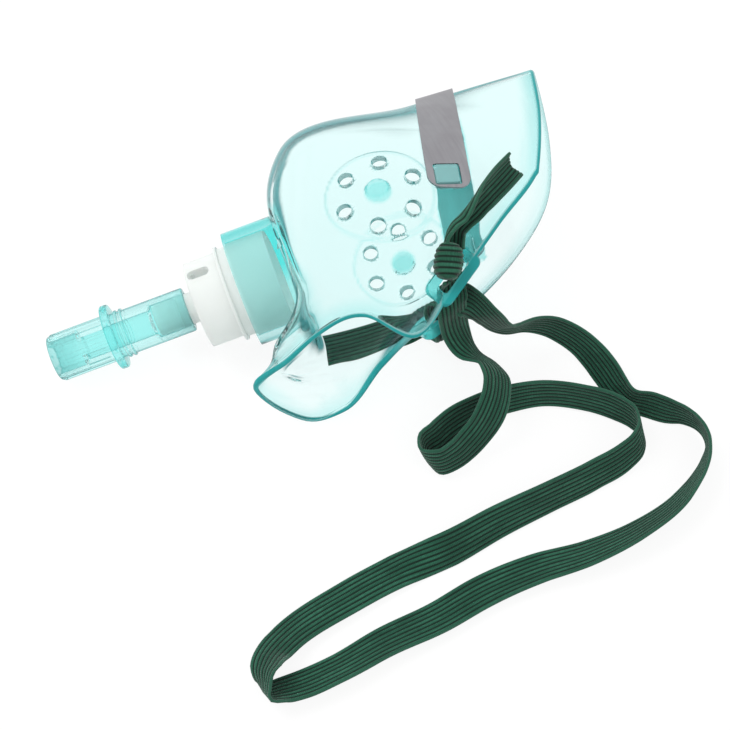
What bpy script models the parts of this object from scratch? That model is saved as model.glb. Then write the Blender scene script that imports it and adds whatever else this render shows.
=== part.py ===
"""Child's oxygen face mask with its nose clip, head strap, port collar and tubing connector.

The soft mask is one thin moulding: a round port, a flaring front, two flattened cheeks with
vent discs, and a rim with a slotted ear on each side.  It is modelled in the mask's own frame:
x runs along the port's axis towards the face, y towards the nose, z towards the upper cheek.
An empty then lays it on its lower cheek.  Lengths are in metres; the loops of the moulding
are written in millimetres.
"""
import math

import bpy
import numpy as np
from mathutils import Matrix, Vector
from mathutils.bvhtree import BVHTree

# Lie of the mask on the table
LIE_HEIGHT = 0.01866
LIE_OFFSET = (0.00229, -0.002055)
LIE_PITCH = -10.14
LIE_ROLL = -5.45

# Soft moulding
PORT_RADIUS = 0.01475
PORT_MOUTH = -0.0223
PORT_BASE = -0.0095
PORT_WALL = 0.0024
CHEEK_WALL = 0.0012
RIM_WALL = 0.0019
SHELL_COLUMNS = 72

# Vent discs
VENT_CENTRE = (0.0176, 0.0004)
VENT_DISC_RADIUS = 0.0130
VENT_DISC_HEIGHT = 0.0004
PAD_ROOT = 0.0005
PAD_STEPS = 36
PAD_RINGS = 3
VENT_RING_RADIUS = 0.0099
VENT_HOLE_RADIUS = 0.0019
VENT_HOLES = 6
VENT_PHASE = 7.0
BOSS_RADIUS = 0.0029
BOSS_HEIGHT = 0.0011

# Nose clip and the lugs that hold it
CLIP_SEAT = (0.0416, 0.0360)
CLIP_SLANT = 10.8
CLIP_WIDTH = 0.0100
CLIP_LEG = 0.0385
CLIP_THICKNESS = 0.0006
CLIP_STANDOFF = 0.0006
CLIP_CORNER = 0.0028
# The clip's outline is found by rays that fan out from a point this far below the ridge
CLIP_SWEEP_DROP = 0.014
CLIP_SWEEP = 155.0
LUG_DROP = 0.0346
LUG_WIDTH = 0.0060
LUG_LENGTH = 0.0055
LUG_HEIGHT = 0.0018
LUG_CORNER = 0.0006

# Ears
EAR_LENGTH = 0.0150
EAR_WIDTH = 0.0075
EAR_THICKNESS = 0.0024
EAR_REACH = 0.00155
EAR_CORNER = 0.0020
EAR_PLACE_UPPER = 4.0
EAR_PLACE_LOWER = 4.28
SLOT_LENGTH = 0.0100
SLOT_WIDTH = 0.0026
SLOT_CORNER = 0.0008

# Port collar, pushed into the port
COLLAR_RADIUS = 0.0110
COLLAR_WALL = 0.0013
COLLAR_FACE = -0.0339
COLLAR_FLANGE = -0.0256
COLLAR_FLANGE_RADIUS = 0.0123
COLLAR_FLANGE_THICKNESS = 0.0009
COLLAR_PLUG_END = -0.0125
COLLAR_CHAMFER = 0.0005
SPIGOT_RADIUS = 0.0040
SPIGOT_BORE = 0.0027
SPIGOT_LENGTH = 0.0110
WINDOW_CENTRE = 0.0034
WINDOW_LENGTH = 0.0055
WINDOW_WIDTH = 0.0028
WINDOW_ANGLE = 83.0

# Tubing connector, pushed on the collar's spigot
CONNECTOR_GAP = 0.0024
CONNECTOR_RADIUS = 0.0057
CONNECTOR_LENGTH = 0.0359
NOZZLE_LENGTH = 0.0150
NOZZLE_RADIUS = 0.0057
NOZZLE_BORE = 0.0044
NOZZLE_DEPTH = 0.0075
THROAT_RADIUS = 0.0032
GRIP_RADIUS = 0.00835
GRIP_THICKNESS = 0.0020
CONNECTOR_EDGE = 0.0005
BEAD_HEIGHT = 0.0005
BEAD_WIDTH = 0.0005
BEAD_FIRST = 0.0008
BEAD_PITCH = 0.0013
NOZZLE_RIBS = 12
RIB_HEIGHT = 0.00035
RIB_END = 0.0008

MILLIMETRE = 0.001
FIT = 0.0003
SEGMENTS = 48

# Elastic strap, a flat ribbon whose ends are knotted outside the two ears.  Each station has its
# place on the table's axes in millimetres, and the direction from the ribbon's right edge to
# its left one.  The direction is shorter than one where the ribbon is gathered.
STRAP_WIDTH = 0.0087
STRAP_THICKNESS = 0.0007
STRAP_STEP = 0.0042
STRAP_ROUTE = (
    (27.2, -25.8, 35.9, 0.72, 0.52, 0.15),
    (27.0, -24.7, 33.0, 0.79, 0.58, 0.17),
    (26.9, -24.0, 30.8, 0.80, 0.57, 0.17),
    (26.6, -25.6, 28.6, 0.86, 0.49, 0.10),
    (26.0, -28.8, 26.2, 0.92, 0.36, 0.00),
    (26.2, -30.1, 22.0, 0.94, 0.33, -0.08),
    (26.6, -31.3, 18.6, 0.89, 0.42, -0.12),
    (27.6, -33.6, 15.6, 0.80, 0.48, -0.29),
    (29.4, -36.6, 13.6, 0.66, 0.36, -0.66),
    (32.0, -39.9, 13.6, 0.68, 0.12, -0.72),
    (32.7, -44.2, 14.3, 0.80, -0.07, -0.59),
    (31.2, -48.4, 13.6, 0.80, -0.20, -0.57),
    (28.7, -51.8, 11.7, 0.81, -0.29, -0.51),
    (25.7, -53.9, 8.3, 0.68, -0.37, -0.63),
    (21.8, -55.9, 6.3, 0.44, -0.47, -0.76),
    (17.6, -57.7, 5.8, 0.19, -0.47, -0.86),
    (13.2, -58.1, 5.5, 0.06, -0.35, -0.93),
    (10.2, -55.1, 4.7, 0.17, -0.09, -0.98),
    (10.3, -50.9, 4.7, 0.04, 0.10, -0.99),
    (13.6, -48.2, 5.2, -0.08, 0.23, -0.97),
    (17.9, -46.6, 5.1, -0.07, 0.14, -0.99),
    (26.9, -46.0, 4.7, -0.05, -0.23, -0.97),
    (36.0, -46.6, 4.4, -0.04, -0.44, -0.90),
    (45.0, -47.9, 4.5, -0.07, -0.33, -0.94),
    (53.2, -51.7, 4.7, -0.15, -0.26, -0.95),
    (60.5, -57.1, 4.6, -0.21, -0.20, -0.96),
    (63.2, -60.7, 4.7, -0.09, -0.13, -0.99),
    (63.8, -64.8, 5.1, 0.24, -0.16, -0.96),
    (61.3, -68.4, 5.1, 0.36, -0.34, -0.87),
    (57.4, -70.2, 4.5, 0.29, -0.48, -0.83),
    (48.7, -72.2, 4.0, 0.11, -0.57, -0.81),
    (35.6, -74.3, 3.9, 0.10, -0.59, -0.80),
    (22.3, -76.3, 3.6, 0.15, -0.69, -0.71),
    (9.2, -78.8, 2.7, 0.14, -0.84, -0.53),
    (-4.0, -79.8, 1.1, 0.17, -0.98, 0.07),
    (-17.2, -82.5, 1.4, 0.21, -0.97, 0.16),
    (-34.3, -87.9, 2.2, 0.51, -0.81, 0.29),
    (-37.9, -90.2, 3.0, 0.70, -0.65, 0.30),
    (-40.5, -93.1, 4.7, 0.77, -0.41, 0.50),
    (-42.1, -96.7, 5.3, 0.36, -0.34, 0.87),
    (-42.5, -99.4, 4.1, 0.06, -0.61, 0.79),
    (-38.8, -99.6, 2.8, 0.05, -0.84, 0.55),
    (-34.3, -99.6, 2.5, 0.04, -0.89, 0.46),
    (-25.6, -98.6, 2.5, 0.20, -0.87, 0.46),
    (-12.6, -95.8, 2.1, 0.15, -0.92, 0.35),
    (0.5, -93.9, 1.6, 0.21, -0.94, 0.27),
    (13.5, -91.0, 1.5, 0.18, -0.96, 0.21),
    (26.7, -89.8, 1.8, -0.01, -0.95, 0.30),
    (40.0, -90.1, 2.6, -0.02, -0.87, 0.50),
    (53.2, -88.6, 3.5, 0.12, -0.71, 0.70),
    (65.8, -84.5, 4.1, 0.19, -0.49, 0.85),
    (69.6, -82.2, 4.4, 0.19, -0.36, 0.91),
    (73.1, -79.5, 4.6, 0.16, -0.23, 0.96),
    (76.2, -76.3, 4.8, 0.04, -0.11, 0.99),
    (78.3, -72.5, 5.1, -0.15, -0.02, 0.99),
    (78.1, -68.2, 5.2, -0.18, -0.01, 0.98),
    (75.7, -64.5, 4.9, -0.05, 0.06, 1.00),
    (72.0, -61.7, 4.6, 0.15, 0.25, 0.96),
    (68.4, -58.8, 4.6, 0.20, 0.27, 0.94),
    (64.7, -56.2, 4.6, 0.21, 0.09, 0.97),
    (62.6, -52.0, 5.0, 0.46, 0.08, 0.88),
    (61.5, -47.4, 5.5, 0.57, 0.06, 0.82),
    (60.2, -42.8, 6.0, 0.52, 0.07, 0.85),
    (58.2, -38.6, 6.8, 0.41, 0.06, 0.91),
    (55.2, -35.0, 7.8, 0.35, 0.03, 0.94),
    (51.5, -32.4, 9.1, 0.30, -0.04, 0.95),
    (47.1, -31.4, 10.5, 0.30, -0.15, 0.94),
    (42.6, -31.8, 11.9, 0.39, -0.23, 0.89),
    (39.0, -31.9, 14.0, 0.36, -0.42, 0.83),
    (36.3, -31.8, 17.7, 0.38, -0.42, 0.82),
    (33.9, -31.3, 21.8, 0.55, -0.30, 0.78),
    (30.6, -28.2, 24.6, 0.78, -0.05, 0.55),
    (27.6, -25.6, 23.9, 0.93, 0.25, 0.20),
    (25.0, -23.9, 21.6, 0.95, 0.30, 0.12),
    (24.7, -25.0, 19.0, 0.94, 0.31, 0.15),
    (25.4, -26.5, 17.2, 0.94, 0.31, 0.15),
    (26.2, -28.1, 14.9, 0.94, 0.31, 0.15),
    (26.6, -28.6, 12.0, 0.96, 0.26, 0.05),
    (26.5, -27.0, 8.8, 0.99, 0.10, 0.00),
    (26.0, -24.0, 6.0, 1.00, 0.00, 0.00),
    (25.6, -21.0, 4.3, 1.00, -0.02, 0.00),
    (25.3, -18.8, 3.0, 1.00, -0.02, 0.00),
)
NEAR_TAIL = (
    (49.2, -4.4, 42.2, -0.64, 0.05, 0.47),
    (46.6, -6.1, 42.1, -0.67, 0.04, 0.42),
    (44.0, -7.8, 42.1, -0.68, -0.00, 0.41),
    (41.0, -9.8, 42.1, -0.63, -0.02, 0.44),
    (37.7, -12.2, 42.1, -0.46, -0.01, 0.52),
    (35.3, -13.9, 41.5, -0.31, -0.00, 0.48),
    (32.8, -15.2, 40.7, -0.18, -0.03, 0.37),
    (30.3, -16.6, 40.0, -0.23, 0.02, 0.32),
    (29.0, -18.4, 39.0, -0.37, 0.06, 0.25),
    (28.1, -20.4, 38.1, -0.44, 0.09, 0.23),
)
FAR_TAIL = (
    (25.2, -18.2, 2.3, 0.00, -0.60, 0.05),
    (22.4, -18.0, 1.4, 0.00, -0.70, 0.03),
    (19.0, -18.0, 0.7, 0.00, -0.90, 0.00),
    (15.0, -18.0, 0.5, 0.00, -1.00, 0.00),
    (10.0, -18.1, 0.4, 0.02, -1.00, 0.00),
    (4.0, -18.1, 0.4, 0.00, -1.00, 0.00),
    (-3.2, -17.8, 0.4, -0.04, -1.00, 0.00),
)
# Knots as rounded lumps: middle, then half lengths along, across and through
NEAR_KNOT = (26.1, -23.4, 38.1)
NEAR_KNOT_ALONG = (0.44, 0.83, 0.34)
NEAR_KNOT_OUT = (0.056, -0.354, 0.933)
FAR_KNOT = (25.3, -18.4, 2.6)
FAR_KNOT_ALONG = (1.0, 0.1, 0.0)
FAR_KNOT_OUT = (0.0, 0.0, 1.0)
KNOT_HALF = (0.0043, 0.0032, 0.0022)
KNOT_SQUARE = 0.75

# Loops of the moulding in millimetres, at these angles round the port's axis from the nose.
# Both cheeks share the shoulder and the cheek loops; each has a rim of its own, because the
# soft rim is pushed out of true.
STATIONS = (0, 22, 45, 68, 90, 112, 130, 150, 165, 180)
SHOULDER = (
    (-0.5, 35.8, 0.0),
    (-1.0, 31.0, 9.0),
    (-1.5, 21.5, 15.0),
    (-2.5, 9.5, 16.9),
    (-3.5, -2.0, 17.6),
    (-5.0, -12.0, 17.2),
    (-8.0, -19.0, 15.8),
    (-13.0, -22.5, 12.3),
    (-18.5, -24.5, 7.5),
    (-20.8, -25.0, 0.0),
)
CHEEK = (
    (34.0, 36.0, 0.0),
    (33.5, 30.0, 6.8),
    (32.0, 19.0, 12.8),
    (28.0, 7.0, 17.9),
    (19.5, -4.0, 20.0),
    (10.5, -14.0, 19.0),
    (2.0, -20.5, 17.6),
    (-7.0, -25.0, 15.8),
    (-15.5, -27.3, 9.8),
    (-23.8, -26.7, 0.0),
)
RIM_UPPER = (
    (67.6, 33.8, 0.0),
    (63.0, 14.5, 7.0),
    (56.0, -4.0, 10.6),
    (42.0, -15.3, 10.6),
    (27.5, -25.0, 7.4),
    (13.5, -35.5, 7.6),
    (4.0, -29.0, 13.6),
    (-7.0, -29.6, 14.4),
    (-17.0, -30.4, 9.2),
    (-26.8, -28.4, 0.0),
)
RIM_LOWER = (
    (67.6, 33.8, 0.0),
    (65.0, 17.5, -8.5),
    (58.0, 0.5, -11.0),
    (44.0, -14.0, -9.6),
    (26.3, -25.2, -7.2),
    (14.5, -25.6, -7.8),
    (4.0, -27.5, -13.5),
    (-8.0, -32.2, -18.6),
    (-18.5, -30.6, -17.6),
    (-26.8, -28.4, 0.0),
)
# Steps between one loop and the next, from the port's mouth to the rim
PORT_STEPS = 3
FRONT_STEPS = 5
SHOULDER_STEPS = 7
RIM_STEPS = 8


def clear_scene():
    """Remove every object that the file opened with."""
    for old in list(bpy.data.objects):
        bpy.data.objects.remove(old, do_unlink=True)


def make_material(name, colour, roughness, metallic=0.0, alpha=1.0):
    """Give a Principled material of one colour and finish."""
    material = bpy.data.materials.new(name)
    material.use_nodes = True
    shader = material.node_tree.nodes["Principled BSDF"]
    shader.inputs["Base Color"].default_value = (*colour, 1.0)
    shader.inputs["Roughness"].default_value = roughness
    shader.inputs["Metallic"].default_value = metallic
    shader.inputs["Alpha"].default_value = alpha
    return material


def make_object(name, vertices, faces, material=None, parent=None):
    """Make a mesh object with smooth faces and sharp corners."""
    mesh = bpy.data.meshes.new(name)
    mesh.from_pydata([tuple(map(float, point)) for point in vertices], [], faces)
    mesh.validate()
    mesh.shade_smooth()
    mesh.set_sharp_from_angle(angle=math.radians(35.0))
    item = bpy.data.objects.new(name, mesh)
    bpy.context.scene.collection.objects.link(item)
    if material is not None:
        mesh.materials.append(material)
    item.parent = parent
    return item


def apply_modifiers(item):
    """Replace the object's mesh by what its modifiers make of it."""
    graph = bpy.context.evaluated_depsgraph_get()
    finished = bpy.data.meshes.new_from_object(item.evaluated_get(graph))
    item.modifiers.clear()
    item.data = finished


def combine(item, other, operation):
    """Cut or join another solid by an exact boolean, then remove that solid."""
    change = item.modifiers.new(operation.lower(), "BOOLEAN")
    change.operation = operation
    change.solver = "EXACT"
    change.object = other
    bpy.context.view_layer.update()
    apply_modifiers(item)
    bpy.data.objects.remove(other, do_unlink=True)


def hermite(knots, points, places):
    """Cubic curve through the points: at each knot its slope is the parabola's through three."""
    knots = np.asarray(knots, float)
    points = np.asarray(points, float)
    spans = np.diff(knots)
    slopes = np.diff(points, axis=0) / spans[:, None]
    before, after = spans[:-1, None], spans[1:, None]
    middle = (after * slopes[:-1] + before * slopes[1:]) / (before + after)
    tangents = np.vstack([2 * slopes[:1] - middle[:1], middle, 2 * slopes[-1:] - middle[-1:]])
    index = np.clip(np.searchsorted(knots, places, side="right") - 1, 0, len(spans) - 1)
    span = spans[index][:, None]
    t = ((places - knots[index]) / spans[index])[:, None]
    start, end = points[index], points[index + 1]
    return (
        start * (2 * t**3 - 3 * t**2 + 1)
        + tangents[index] * span * (t**3 - 2 * t**2 + t)
        + end * (3 * t**2 - 2 * t**3)
        + tangents[index + 1] * span * (t**3 - t**2)
    )


def closed_loop(upper, lower, angles):
    """Closed curve through the stations of the upper cheek and back along the lower one."""
    knots = np.concatenate([STATIONS, 360.0 - np.array(STATIONS[-2:0:-1])])
    points = np.vstack([upper, np.array(lower)[-2:0:-1]]) * MILLIMETRE
    wrap = 3
    knots = np.concatenate([knots[-wrap:] - 360.0, knots, knots[:wrap] + 360.0])
    points = np.vstack([points[-wrap:], points, points[:wrap]])
    return hermite(knots, points, angles)


def mirrored(loop):
    """The same loop on the lower cheek."""
    return [(x, y, -z) for x, y, z in loop]


def port_circle(angles, place, radius):
    """Circle round the port's axis, at the angles measured from the nose."""
    turn = np.radians(angles)
    return np.stack([np.full_like(turn, place), radius * np.cos(turn), radius * np.sin(turn)], axis=1)


def shell_rows(angles):
    """Rows of the moulding's outer surface, from the port's mouth to the rim."""
    mouth = port_circle(angles, PORT_MOUTH, PORT_RADIUS)
    base = port_circle(angles, PORT_BASE, PORT_RADIUS)
    shoulder = closed_loop(SHOULDER, mirrored(SHOULDER), angles)
    cheek = closed_loop(CHEEK, mirrored(CHEEK), angles)
    rim = closed_loop(RIM_UPPER, RIM_LOWER, angles)
    front = base + (shoulder - base) * np.array([0.25, 0.5, 0.5])
    loops = np.stack([base, front, shoulder, cheek, rim], axis=1)
    rows = [mouth + (base - mouth) * step / PORT_STEPS for step in range(PORT_STEPS)]
    columns = []
    for path in loops:
        reach = np.concatenate([[0.0], np.cumsum(np.linalg.norm(np.diff(path, axis=0), axis=1))])
        places = np.concatenate([
            np.linspace(reach[0], reach[2], FRONT_STEPS, endpoint=False),
            np.linspace(reach[2], reach[3], SHOULDER_STEPS, endpoint=False),
            np.linspace(reach[3], reach[4], RIM_STEPS + 1),
        ])
        columns.append(hermite(reach, path, places))
    rows.extend(np.stack(columns, axis=1))
    return np.array(rows)


def wall_weights(row_count):
    """Share of the port's wall that each row has: port, thinner cheek, thicker rim."""
    weights = np.full(row_count, CHEEK_WALL / PORT_WALL)
    weights[:PORT_STEPS] = 1.0
    weights[PORT_STEPS] = 0.5 * (1.0 + CHEEK_WALL / PORT_WALL)
    weights[-1] = RIM_WALL / PORT_WALL
    return weights


def make_sheet(name, parent):
    """The moulding's outer surface as an open sheet of quads."""
    angles = np.linspace(0.0, 360.0, SHELL_COLUMNS, endpoint=False)
    rows = shell_rows(angles)
    row_count = len(rows)
    faces = []
    for row in range(row_count - 1):
        for column in range(SHELL_COLUMNS):
            along = (column + 1) % SHELL_COLUMNS
            here, there = row * SHELL_COLUMNS, (row + 1) * SHELL_COLUMNS
            faces.append((here + column, here + along, there + along, there + column))
    sheet = make_object(name, rows.reshape(-1, 3), faces, None, parent)
    return sheet, row_count


class Wall:
    """Finds points of the moulding's outer surface by rays cast from inside it."""

    def __init__(self, sheet):
        graph = bpy.context.evaluated_depsgraph_get()
        self.tree = BVHTree.FromObject(sheet, graph)

    def hit(self, origin, direction):
        """Point and outward normal where a ray from inside leaves the moulding."""
        point, normal, _, _ = self.tree.ray_cast(Vector(origin), Vector(direction).normalized())
        if normal.dot(Vector(direction)) < 0.0:
            normal = -normal
        return point, normal


def local_frame(point, normal, along):
    """Matrix whose Z is the normal and whose X lies nearest to the direction given."""
    up = Vector(normal).normalized()
    right = Vector(along)
    right = (right - up * right.dot(up)).normalized()
    side = up.cross(right)
    frame = Matrix((right, side, up)).transposed().to_4x4()
    frame.translation = point
    return frame


def make_prism(name, outline, bottom, top, frame, parent):
    """Straight prism of an outline drawn anticlockwise, between two heights in a frame."""
    count = len(outline)
    points = [frame @ Vector((x, y, bottom)) for x, y in outline]
    points += [frame @ Vector((x, y, top)) for x, y in outline]
    faces = [tuple(reversed(range(count))), tuple(range(count, 2 * count))]
    for corner in range(count):
        after = (corner + 1) % count
        faces.append((corner, after, count + after, count + corner))
    return make_object(name, points, faces, None, parent)


def rounded_box(length, width, radius, steps=4):
    """Anticlockwise outline of a rectangle with round corners."""
    outline = []
    corners = ((1, 1, 0), (-1, 1, 90), (-1, -1, 180), (1, -1, 270))
    for side_x, side_y, first in corners:
        for step in range(steps + 1):
            turn = math.radians(first + 90.0 * step / steps)
            x = side_x * (length / 2 - radius) + radius * math.cos(turn)
            y = side_y * (width / 2 - radius) + radius * math.sin(turn)
            outline.append((x, y))
    return outline


def circle(radius, steps):
    """Anticlockwise outline of a circle."""
    turns = [2 * math.pi * step / steps for step in range(steps)]
    return [(radius * math.cos(turn), radius * math.sin(turn)) for turn in turns]


def make_turned(name, profile, material, parent, ribs=None):
    """Solid of revolution round the port's axis from a closed profile of (place, radius).

    The profile runs towards +x on the outside and back on the inside.  Ribs, if given, are
    (first place, last place, count, height): the outer radius swells there in round ridges.
    """
    turns = np.linspace(0.0, 2 * np.pi, SEGMENTS, endpoint=False)
    rows = []
    for place, radius, outer in profile:
        radii = np.full(SEGMENTS, radius)
        if ribs and outer and ribs[0] <= place <= ribs[1]:
            radii += ribs[3] * np.maximum(np.cos(ribs[2] * turns), 0.0)
        across, up = radii * np.cos(turns), radii * np.sin(turns)
        rows.append(np.stack([np.full(SEGMENTS, place), across, up], axis=1))
    faces = []
    for row in range(len(rows)):
        here, there = row * SEGMENTS, (row + 1) % len(rows) * SEGMENTS
        for column in range(SEGMENTS):
            along = (column + 1) % SEGMENTS
            faces.append((here + column, here + along, there + along, there + column))
    return make_object(name, np.vstack(rows), faces, material, parent)


def add_vents(shell, wall, side, parent):
    """Vent disc of one cheek: a raised round pad, a domed boss and a ring of round holes."""
    below = (VENT_CENTRE[0], VENT_CENTRE[1], 0.0)
    centre, normal = wall.hit(below, (0.0, 0.0, side))
    steps, rings = PAD_STEPS, PAD_RINGS
    pad_top, pad_under = [], []
    for ring in range(rings + 1):
        radius = VENT_DISC_RADIUS * ring / rings
        for x, y in circle(radius, steps) if ring else [(0.0, 0.0)]:
            point, out = wall.hit((below[0] + x, below[1] + y, 0.0), (0.0, 0.0, side))
            pad_top.append(point + out * VENT_DISC_HEIGHT)
            pad_under.append(point - out * PAD_ROOT)
    faces = pad_faces(steps, rings, len(pad_top), side)
    combine(shell, make_object("pad", pad_top + pad_under, faces, None, parent), "UNION")
    frame = local_frame(centre, normal, (1.0, 0.0, 0.0))
    boss = make_prism("boss", circle(BOSS_RADIUS, 20), -CHEEK_WALL / 2, BOSS_HEIGHT, frame, parent)
    combine(shell, boss, "UNION")
    for hole in range(VENT_HOLES):
        turn = math.radians(VENT_PHASE + 360.0 * hole / VENT_HOLES)
        x = below[0] + VENT_RING_RADIUS * math.cos(turn)
        y = below[1] + VENT_RING_RADIUS * math.sin(turn)
        point, out = wall.hit((x, y, 0.0), (0.0, 0.0, side))
        reach = 3 * CHEEK_WALL
        seat = local_frame(point, out, (1.0, 0.0, 0.0))
        cutter = make_prism("vent", circle(VENT_HOLE_RADIUS, 16), -reach, reach, seat, parent)
        combine(shell, cutter, "DIFFERENCE")


def pad_faces(steps, rings, count, side):
    """Faces of a closed round pad made of rings of points over a like set below."""
    def at(ring, step):
        return 0 if ring == 0 else 1 + (ring - 1) * steps + step % steps
    faces = []
    for step in range(steps):
        faces.append((at(0, 0), at(1, step), at(1, step + 1)))
        for ring in range(1, rings):
            faces.append((at(ring, step), at(ring + 1, step), at(ring + 1, step + 1), at(ring, step + 1)))
    under = [tuple(count + corner for corner in reversed(face)) for face in faces]
    edge = []
    for step in range(steps):
        here, after = at(rings, step), at(rings, step + 1)
        edge.append((here, count + here, count + after, after))
    faces = faces + under + edge
    return faces if side > 0 else [tuple(reversed(face)) for face in faces]


def clip_axes():
    """Direction along the clip's seat on the ridge, and the direction down its legs."""
    slant = math.radians(CLIP_SLANT)
    return Vector((math.cos(slant), -math.sin(slant), 0.0)), Vector((-math.sin(slant), -math.cos(slant), 0.0))


def add_lug(shell, wall, side, parent):
    """Square lug of one cheek that stands through the end of the nose clip."""
    across, down = clip_axes()
    point, normal = wall.hit(Vector((*CLIP_SEAT, 0.0)) + down * LUG_DROP, (0.0, 0.0, side))
    frame = local_frame(point, normal, across)
    outline = rounded_box(LUG_WIDTH, LUG_LENGTH, LUG_CORNER, 2)
    combine(shell, make_prism("lug", outline, -CHEEK_WALL / 2, LUG_HEIGHT, frame, parent), "UNION")
    return frame


def between(loop, place):
    """Point on the straight line between two stations of a loop, in metres."""
    first = int(place)
    share = place - first
    return (Vector(loop[first]) * (1.0 - share) + Vector(loop[first + 1]) * share) * MILLIMETRE


def ear_frame(side):
    """Frame at the middle of an ear: X along the rim, Z out of the moulding."""
    rim, place = (RIM_UPPER, EAR_PLACE_UPPER) if side > 0 else (RIM_LOWER, EAR_PLACE_LOWER)
    edge = between(rim, place)
    along = (between(rim, place - 1) - between(rim, place + 1)).normalized()
    inner = between(CHEEK, place)
    inner.z *= side
    inward = (inner - edge).normalized()
    normal = inward.cross(along)
    if normal.z * side < 0.0:
        normal = -normal
    return local_frame(edge + inward * EAR_REACH - normal * CHEEK_WALL / 2, normal, along)


def add_ear(shell, side, parent):
    """Thickened ear at the rim of one cheek, with the slot that the strap is tied through."""
    frame = ear_frame(side)
    half = EAR_THICKNESS / 2
    plate = make_prism("ear", rounded_box(EAR_LENGTH, EAR_WIDTH, EAR_CORNER), -half, half, frame, parent)
    combine(shell, plate, "UNION")
    outline = rounded_box(SLOT_LENGTH, SLOT_WIDTH, SLOT_CORNER, 3)
    slot = make_prism("slot", outline, -4 * half, 4 * half, frame, parent)
    combine(shell, slot, "DIFFERENCE")


def make_mask_shell(material, parent):
    """The soft moulding with its vents, lugs and ears."""
    shell, row_count = make_sheet("mask_shell", parent)
    shell.data.materials.append(material)
    wall = Wall(shell)
    group = shell.vertex_groups.new(name="wall")
    for row, weight in enumerate(wall_weights(row_count)):
        first = row * SHELL_COLUMNS
        group.add(list(range(first, first + SHELL_COLUMNS)), float(weight), "REPLACE")
    thick = shell.modifiers.new("wall", "SOLIDIFY")
    thick.thickness = PORT_WALL
    thick.offset = -1.0
    thick.use_even_offset = True
    thick.vertex_group = "wall"
    bpy.context.view_layer.update()
    apply_modifiers(shell)
    lug_frames = []
    for side in (1.0, -1.0):
        add_vents(shell, wall, side, parent)
        lug_frames.append(add_lug(shell, wall, side, parent))
        add_ear(shell, side, parent)
    return shell, wall, lug_frames


def make_nose_clip(wall, lug_frames, material, parent):
    """Soft aluminium strip folded over the ridge, a lug standing through each end."""
    across, down = clip_axes()
    seat = Vector((*CLIP_SEAT, 0.0)) + down * CLIP_SWEEP_DROP
    sweep = np.linspace(-CLIP_SWEEP, CLIP_SWEEP, 125)
    middle = [wall.hit(seat, clip_ray(down, turn))[0] for turn in sweep]
    reach = np.concatenate([[0.0], np.cumsum([(b - a).length for a, b in zip(middle, middle[1:])])])
    reach -= np.interp(0.0, sweep, reach)
    body = np.linspace(-CLIP_LEG + CLIP_CORNER, CLIP_LEG - CLIP_CORNER, 31)
    tips = CLIP_LEG - CLIP_CORNER * (1.0 - np.sin(np.radians([30.0, 60.0, 90.0])))
    stops = np.concatenate([-tips[::-1], body, tips])
    shares = np.linspace(-0.5, 0.5, 5)
    top, under = [], []
    for stop in stops:
        beyond = max(0.0, abs(stop) - (CLIP_LEG - CLIP_CORNER)) / CLIP_CORNER
        narrow = CLIP_CORNER * (1.0 - math.sqrt(max(0.0, 1.0 - min(beyond, 0.97) ** 2)))
        width = CLIP_WIDTH - 2 * narrow
        ray = clip_ray(down, float(np.interp(stop, reach, sweep)))
        for share in shares:
            point, normal = wall.hit(seat + across * width * share, ray)
            under.append(point + normal * CLIP_STANDOFF)
            top.append(point + normal * (CLIP_STANDOFF + CLIP_THICKNESS))
    clip = make_object("nose_clip", *strip_solid(top, under, len(stops), len(shares)), material, parent)
    for frame in lug_frames:
        hole = rounded_box(LUG_WIDTH + 2 * FIT, LUG_LENGTH + 2 * FIT, LUG_CORNER, 2)
        cutter = make_prism("hole", hole, -CHEEK_WALL, LUG_HEIGHT + CHEEK_WALL, frame, parent)
        combine(clip, cutter, "DIFFERENCE")
    return clip


def clip_ray(down, turn):
    """Direction in the clip's plane, turned from straight up towards the upper cheek."""
    turn = math.radians(turn)
    return -down * math.cos(turn) + Vector((0.0, 0.0, math.sin(turn)))


def strip_solid(top, under, rows, columns):
    """Vertices and faces of a closed strip between two like grids of points."""
    count = rows * columns
    faces = []
    for row in range(rows - 1):
        for column in range(columns - 1):
            a = row * columns + column
            b, c, d = a + 1, a + columns + 1, a + columns
            faces.append((a, b, c, d))
            faces.append((count + d, count + c, count + b, count + a))
    border = [row * columns for row in range(rows)]
    border += [(rows - 1) * columns + column for column in range(1, columns)]
    border += [row * columns + columns - 1 for row in range(rows - 2, -1, -1)]
    border += list(range(columns - 2, 0, -1))
    for here, after in zip(border, border[1:] + border[:1]):
        faces.append((here, after, count + after, count + here))
    return top + under, faces


def ribbon_rows(route):
    """Evenly spaced middles, and vectors from the right edge to the left, along a ribbon."""
    stations = np.array(route)
    middles = stations[:, :3] * MILLIMETRE
    reach = np.concatenate([[0.0], np.cumsum(np.linalg.norm(np.diff(middles, axis=0), axis=1))])
    places = np.linspace(0.0, reach[-1], 1 + round(reach[-1] / STRAP_STEP))
    points = hermite(reach, middles, places)
    across = hermite(reach, stations[:, 3:], places)
    share = np.linalg.norm(across, axis=1, keepdims=True)
    tangent = np.gradient(points, axis=0)
    tangent /= np.linalg.norm(tangent, axis=1, keepdims=True)
    across -= tangent * np.sum(across * tangent, axis=1, keepdims=True)
    across *= share / np.linalg.norm(across, axis=1, keepdims=True)
    normal = np.cross(across, tangent)
    normal /= np.linalg.norm(normal, axis=1, keepdims=True)
    return points, across * STRAP_WIDTH, normal


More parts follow.
